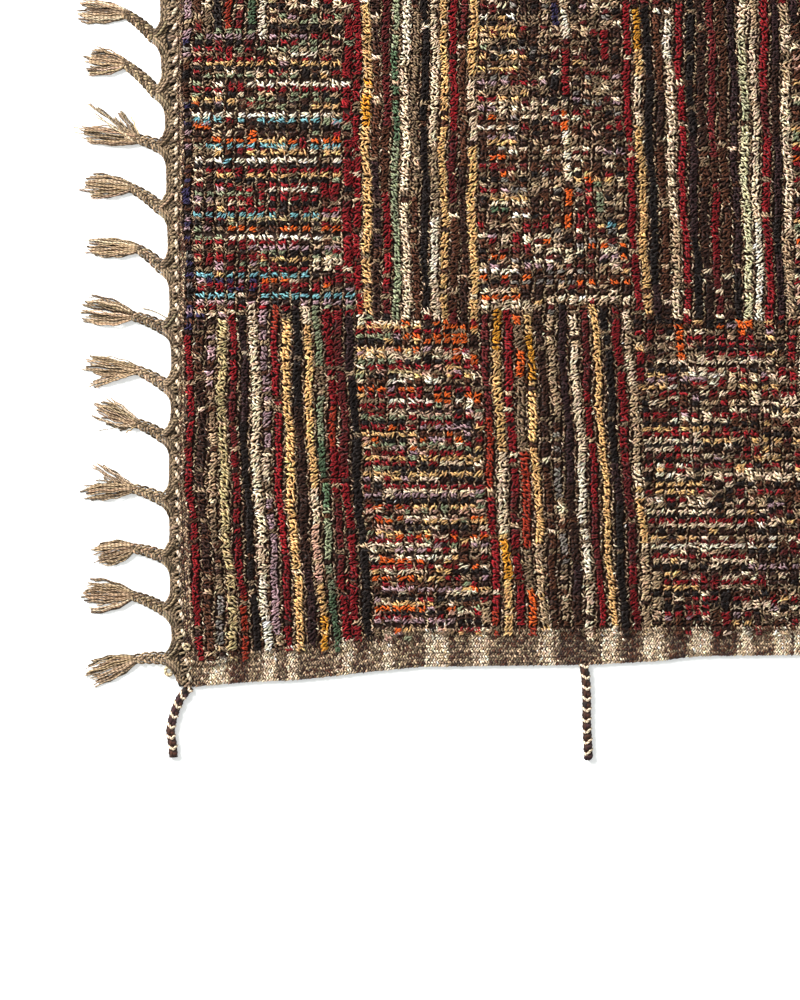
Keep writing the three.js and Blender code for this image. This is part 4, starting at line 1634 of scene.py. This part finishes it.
def loose_yarns(centre, neck_way, tuft_way, spread, yarns, rng):
    """The tuft of a tassel, or a part of one, over the floor."""
    share = np.linspace(-0.5, 0.5, yarns) + rng.normal(0, 0.02, yarns)
    opening = neck_way / np.linalg.norm(neck_way) + tuft_way / np.linalg.norm(tuft_way)
    opening /= np.linalg.norm(opening)
    across = np.array([-opening[1], opening[0]])
    tip_across = np.array([-tuft_way[1], tuft_way[0]]) / np.linalg.norm(tuft_way)
    clump = CLUMP_SIZE * np.sin(TURN * CLUMPS * share + rng.uniform(0, TURN))
    trim = 1 + rng.normal(0, TRIM_SPREAD, yarns) - TRIM_ROUND * (2 * share) ** 2
    layer = rng.permutation(yarns) % 3
    start_width, inside = TUFT_START
    bulge_place, bulge = TUFT_BULGE
    middle_spread, last_spread = TUFT_SPREADS
    first = centre + across * (share * start_width)[:, None] - opening * inside
    middle = centre + (tuft_way * bulge_place) + tip_across * (share * spread * bulge)[:, None]
    middle = middle + rng.normal(0, middle_spread, middle.shape)
    last = centre + tuft_way * trim[:, None] + tip_across * ((share + clump) * spread)[:, None]
    last = last + rng.normal(0, last_spread, last.shape)
    heights = [lowest + next_one * layer for lowest, next_one in zip(*LAYER_HEIGHTS.values())]
    lines = bent(*(np.column_stack(pair) for pair in zip((first, middle, last), heights)), TUFT_STEPS)
    along = np.linspace(0, 1, TUFT_STEPS)
    wave = WAVE_SIZE * np.minimum(3 * along, 1) * np.sin(TURN * (WAVES * along + rng.random((yarns, 1))))
    lines[..., :2] += wave[..., None] * tip_across
    widths = (LAYER_WIDTHS[layer] * rng.uniform(*WIDTH_SPREAD, yarns))[:, None]
    widths = widths * np.linspace(1, TUFT_TAPER, TUFT_STEPS)
    # Painted shade: the lower layers are darker.
    colours = warp_colours(rng, yarns, TUFT_WOOLS) * LAYER_SHADES[layer][:, None]
    return yarn(lines, widths, np.minimum(widths, LARGEST_HEIGHT) * FLATNESS, colours, sides=3)


# %% [markdown]
# ### All the tassels
#
# A tuft that has parted is made of several smaller ones. The tassels of the east end are other draws of
# the same ones, after half a turn.

# %% All the tassels
TASSEL_SEEDS = {"west": 100, "east": 200}


def tassel(row, rng):
    """A tassel of the west end."""
    y, neck_x, neck_y, tuft_x, tuft_y, spread = row
    root = tassel_root(y)
    neck_way = np.array([neck_x, neck_y])
    parted = [part[1:] for part in zip(*PARTED.values()) if part[0] == y]
    main = TUFT_YARNS - sum(int(part[-1]) for part in parted)
    parts = [neck(root, neck_way, rng)]
    for away_x, away_y, wide, yarns in [(tuft_x, tuft_y, spread, main)] + parted:
        away = np.array([away_x, away_y])
        parts.append(loose_yarns(root + neck_way, neck_way, away, wide, int(yarns), rng))
    return joined(parts)


for end, turn in (("west", as_made), ("east", half_turned)):
    for number, row in enumerate(zip(*TASSELS.values()), start=1):
        part = turn(tassel(row, np.random.default_rng(TASSEL_SEEDS[end] + number)))
        piece = new_piece(f"warp_tassel_{end}_{number:02d}", part, warp_yarn)
        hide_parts(f"tassel_{end}_{number:02d}")
print("a tassel has", triangles_made["warp_tassel_west_01"], "triangles")

# %% [markdown]
# ## Floor and light
#
# The photograph has a white ground, soft light from the upper left and faint grey shadows. A white plane,
# a large lamp up on the left and a pale sky all round give that.

# %% Floor
FLOOR_SIZE = 12


def floor_material():
    """White acrylic, a little lit from below, so that shadows on it stay faint."""
    material = new_material("backlit_white_acrylic")
    shader = add_node(
        material,
        "BsdfPrincipled",
        {
            "Base Color": (0.84, 0.86, 0.85, 1),
            "Roughness": 0.9,
            "Emission Color": (0.97, 1, 0.99, 1),
            "Emission Strength": 0.36,
        },
    )
    add_node(material, "OutputMaterial", links={"Surface": shader.outputs["BSDF"]})
    return material


bpy.ops.mesh.primitive_plane_add(size=FLOOR_SIZE, location=(0, 0, 0))
floor = bpy.context.object
floor.name = "floor"
floor.data.materials.append(floor_material())

# %% Light
LAMP_PLACE = (-3.3, 2.1, 2.6)
LAMP_SIZE = 2
LAMP_WATTS = 560
SKY_STRENGTH = 0.55

bpy.ops.object.light_add(type="AREA", location=LAMP_PLACE)
lamp = bpy.context.object
lamp.data.size = LAMP_SIZE
lamp.data.energy = LAMP_WATTS
toward = np.array([middle_x, middle_y, 0]) - np.array(LAMP_PLACE)
lamp.rotation_mode = "QUATERNION"
lamp.rotation_quaternion = Vector(toward).to_track_quat("-Z", "Y")
world = bpy.data.worlds.new("pale_sky")
world.use_nodes = True
world.node_tree.nodes["Background"].inputs["Color"].default_value = (1, 1, 1, 1)
world.node_tree.nodes["Background"].inputs["Strength"].default_value = SKY_STRENGTH
bpy.context.scene.world = world

# %% [markdown]
# ## Finish
#
# The last lines add up the triangles of all the pieces and print the sum.

# %% Finish
total = sum(triangles_made.values())
print("triangles in all:", total)
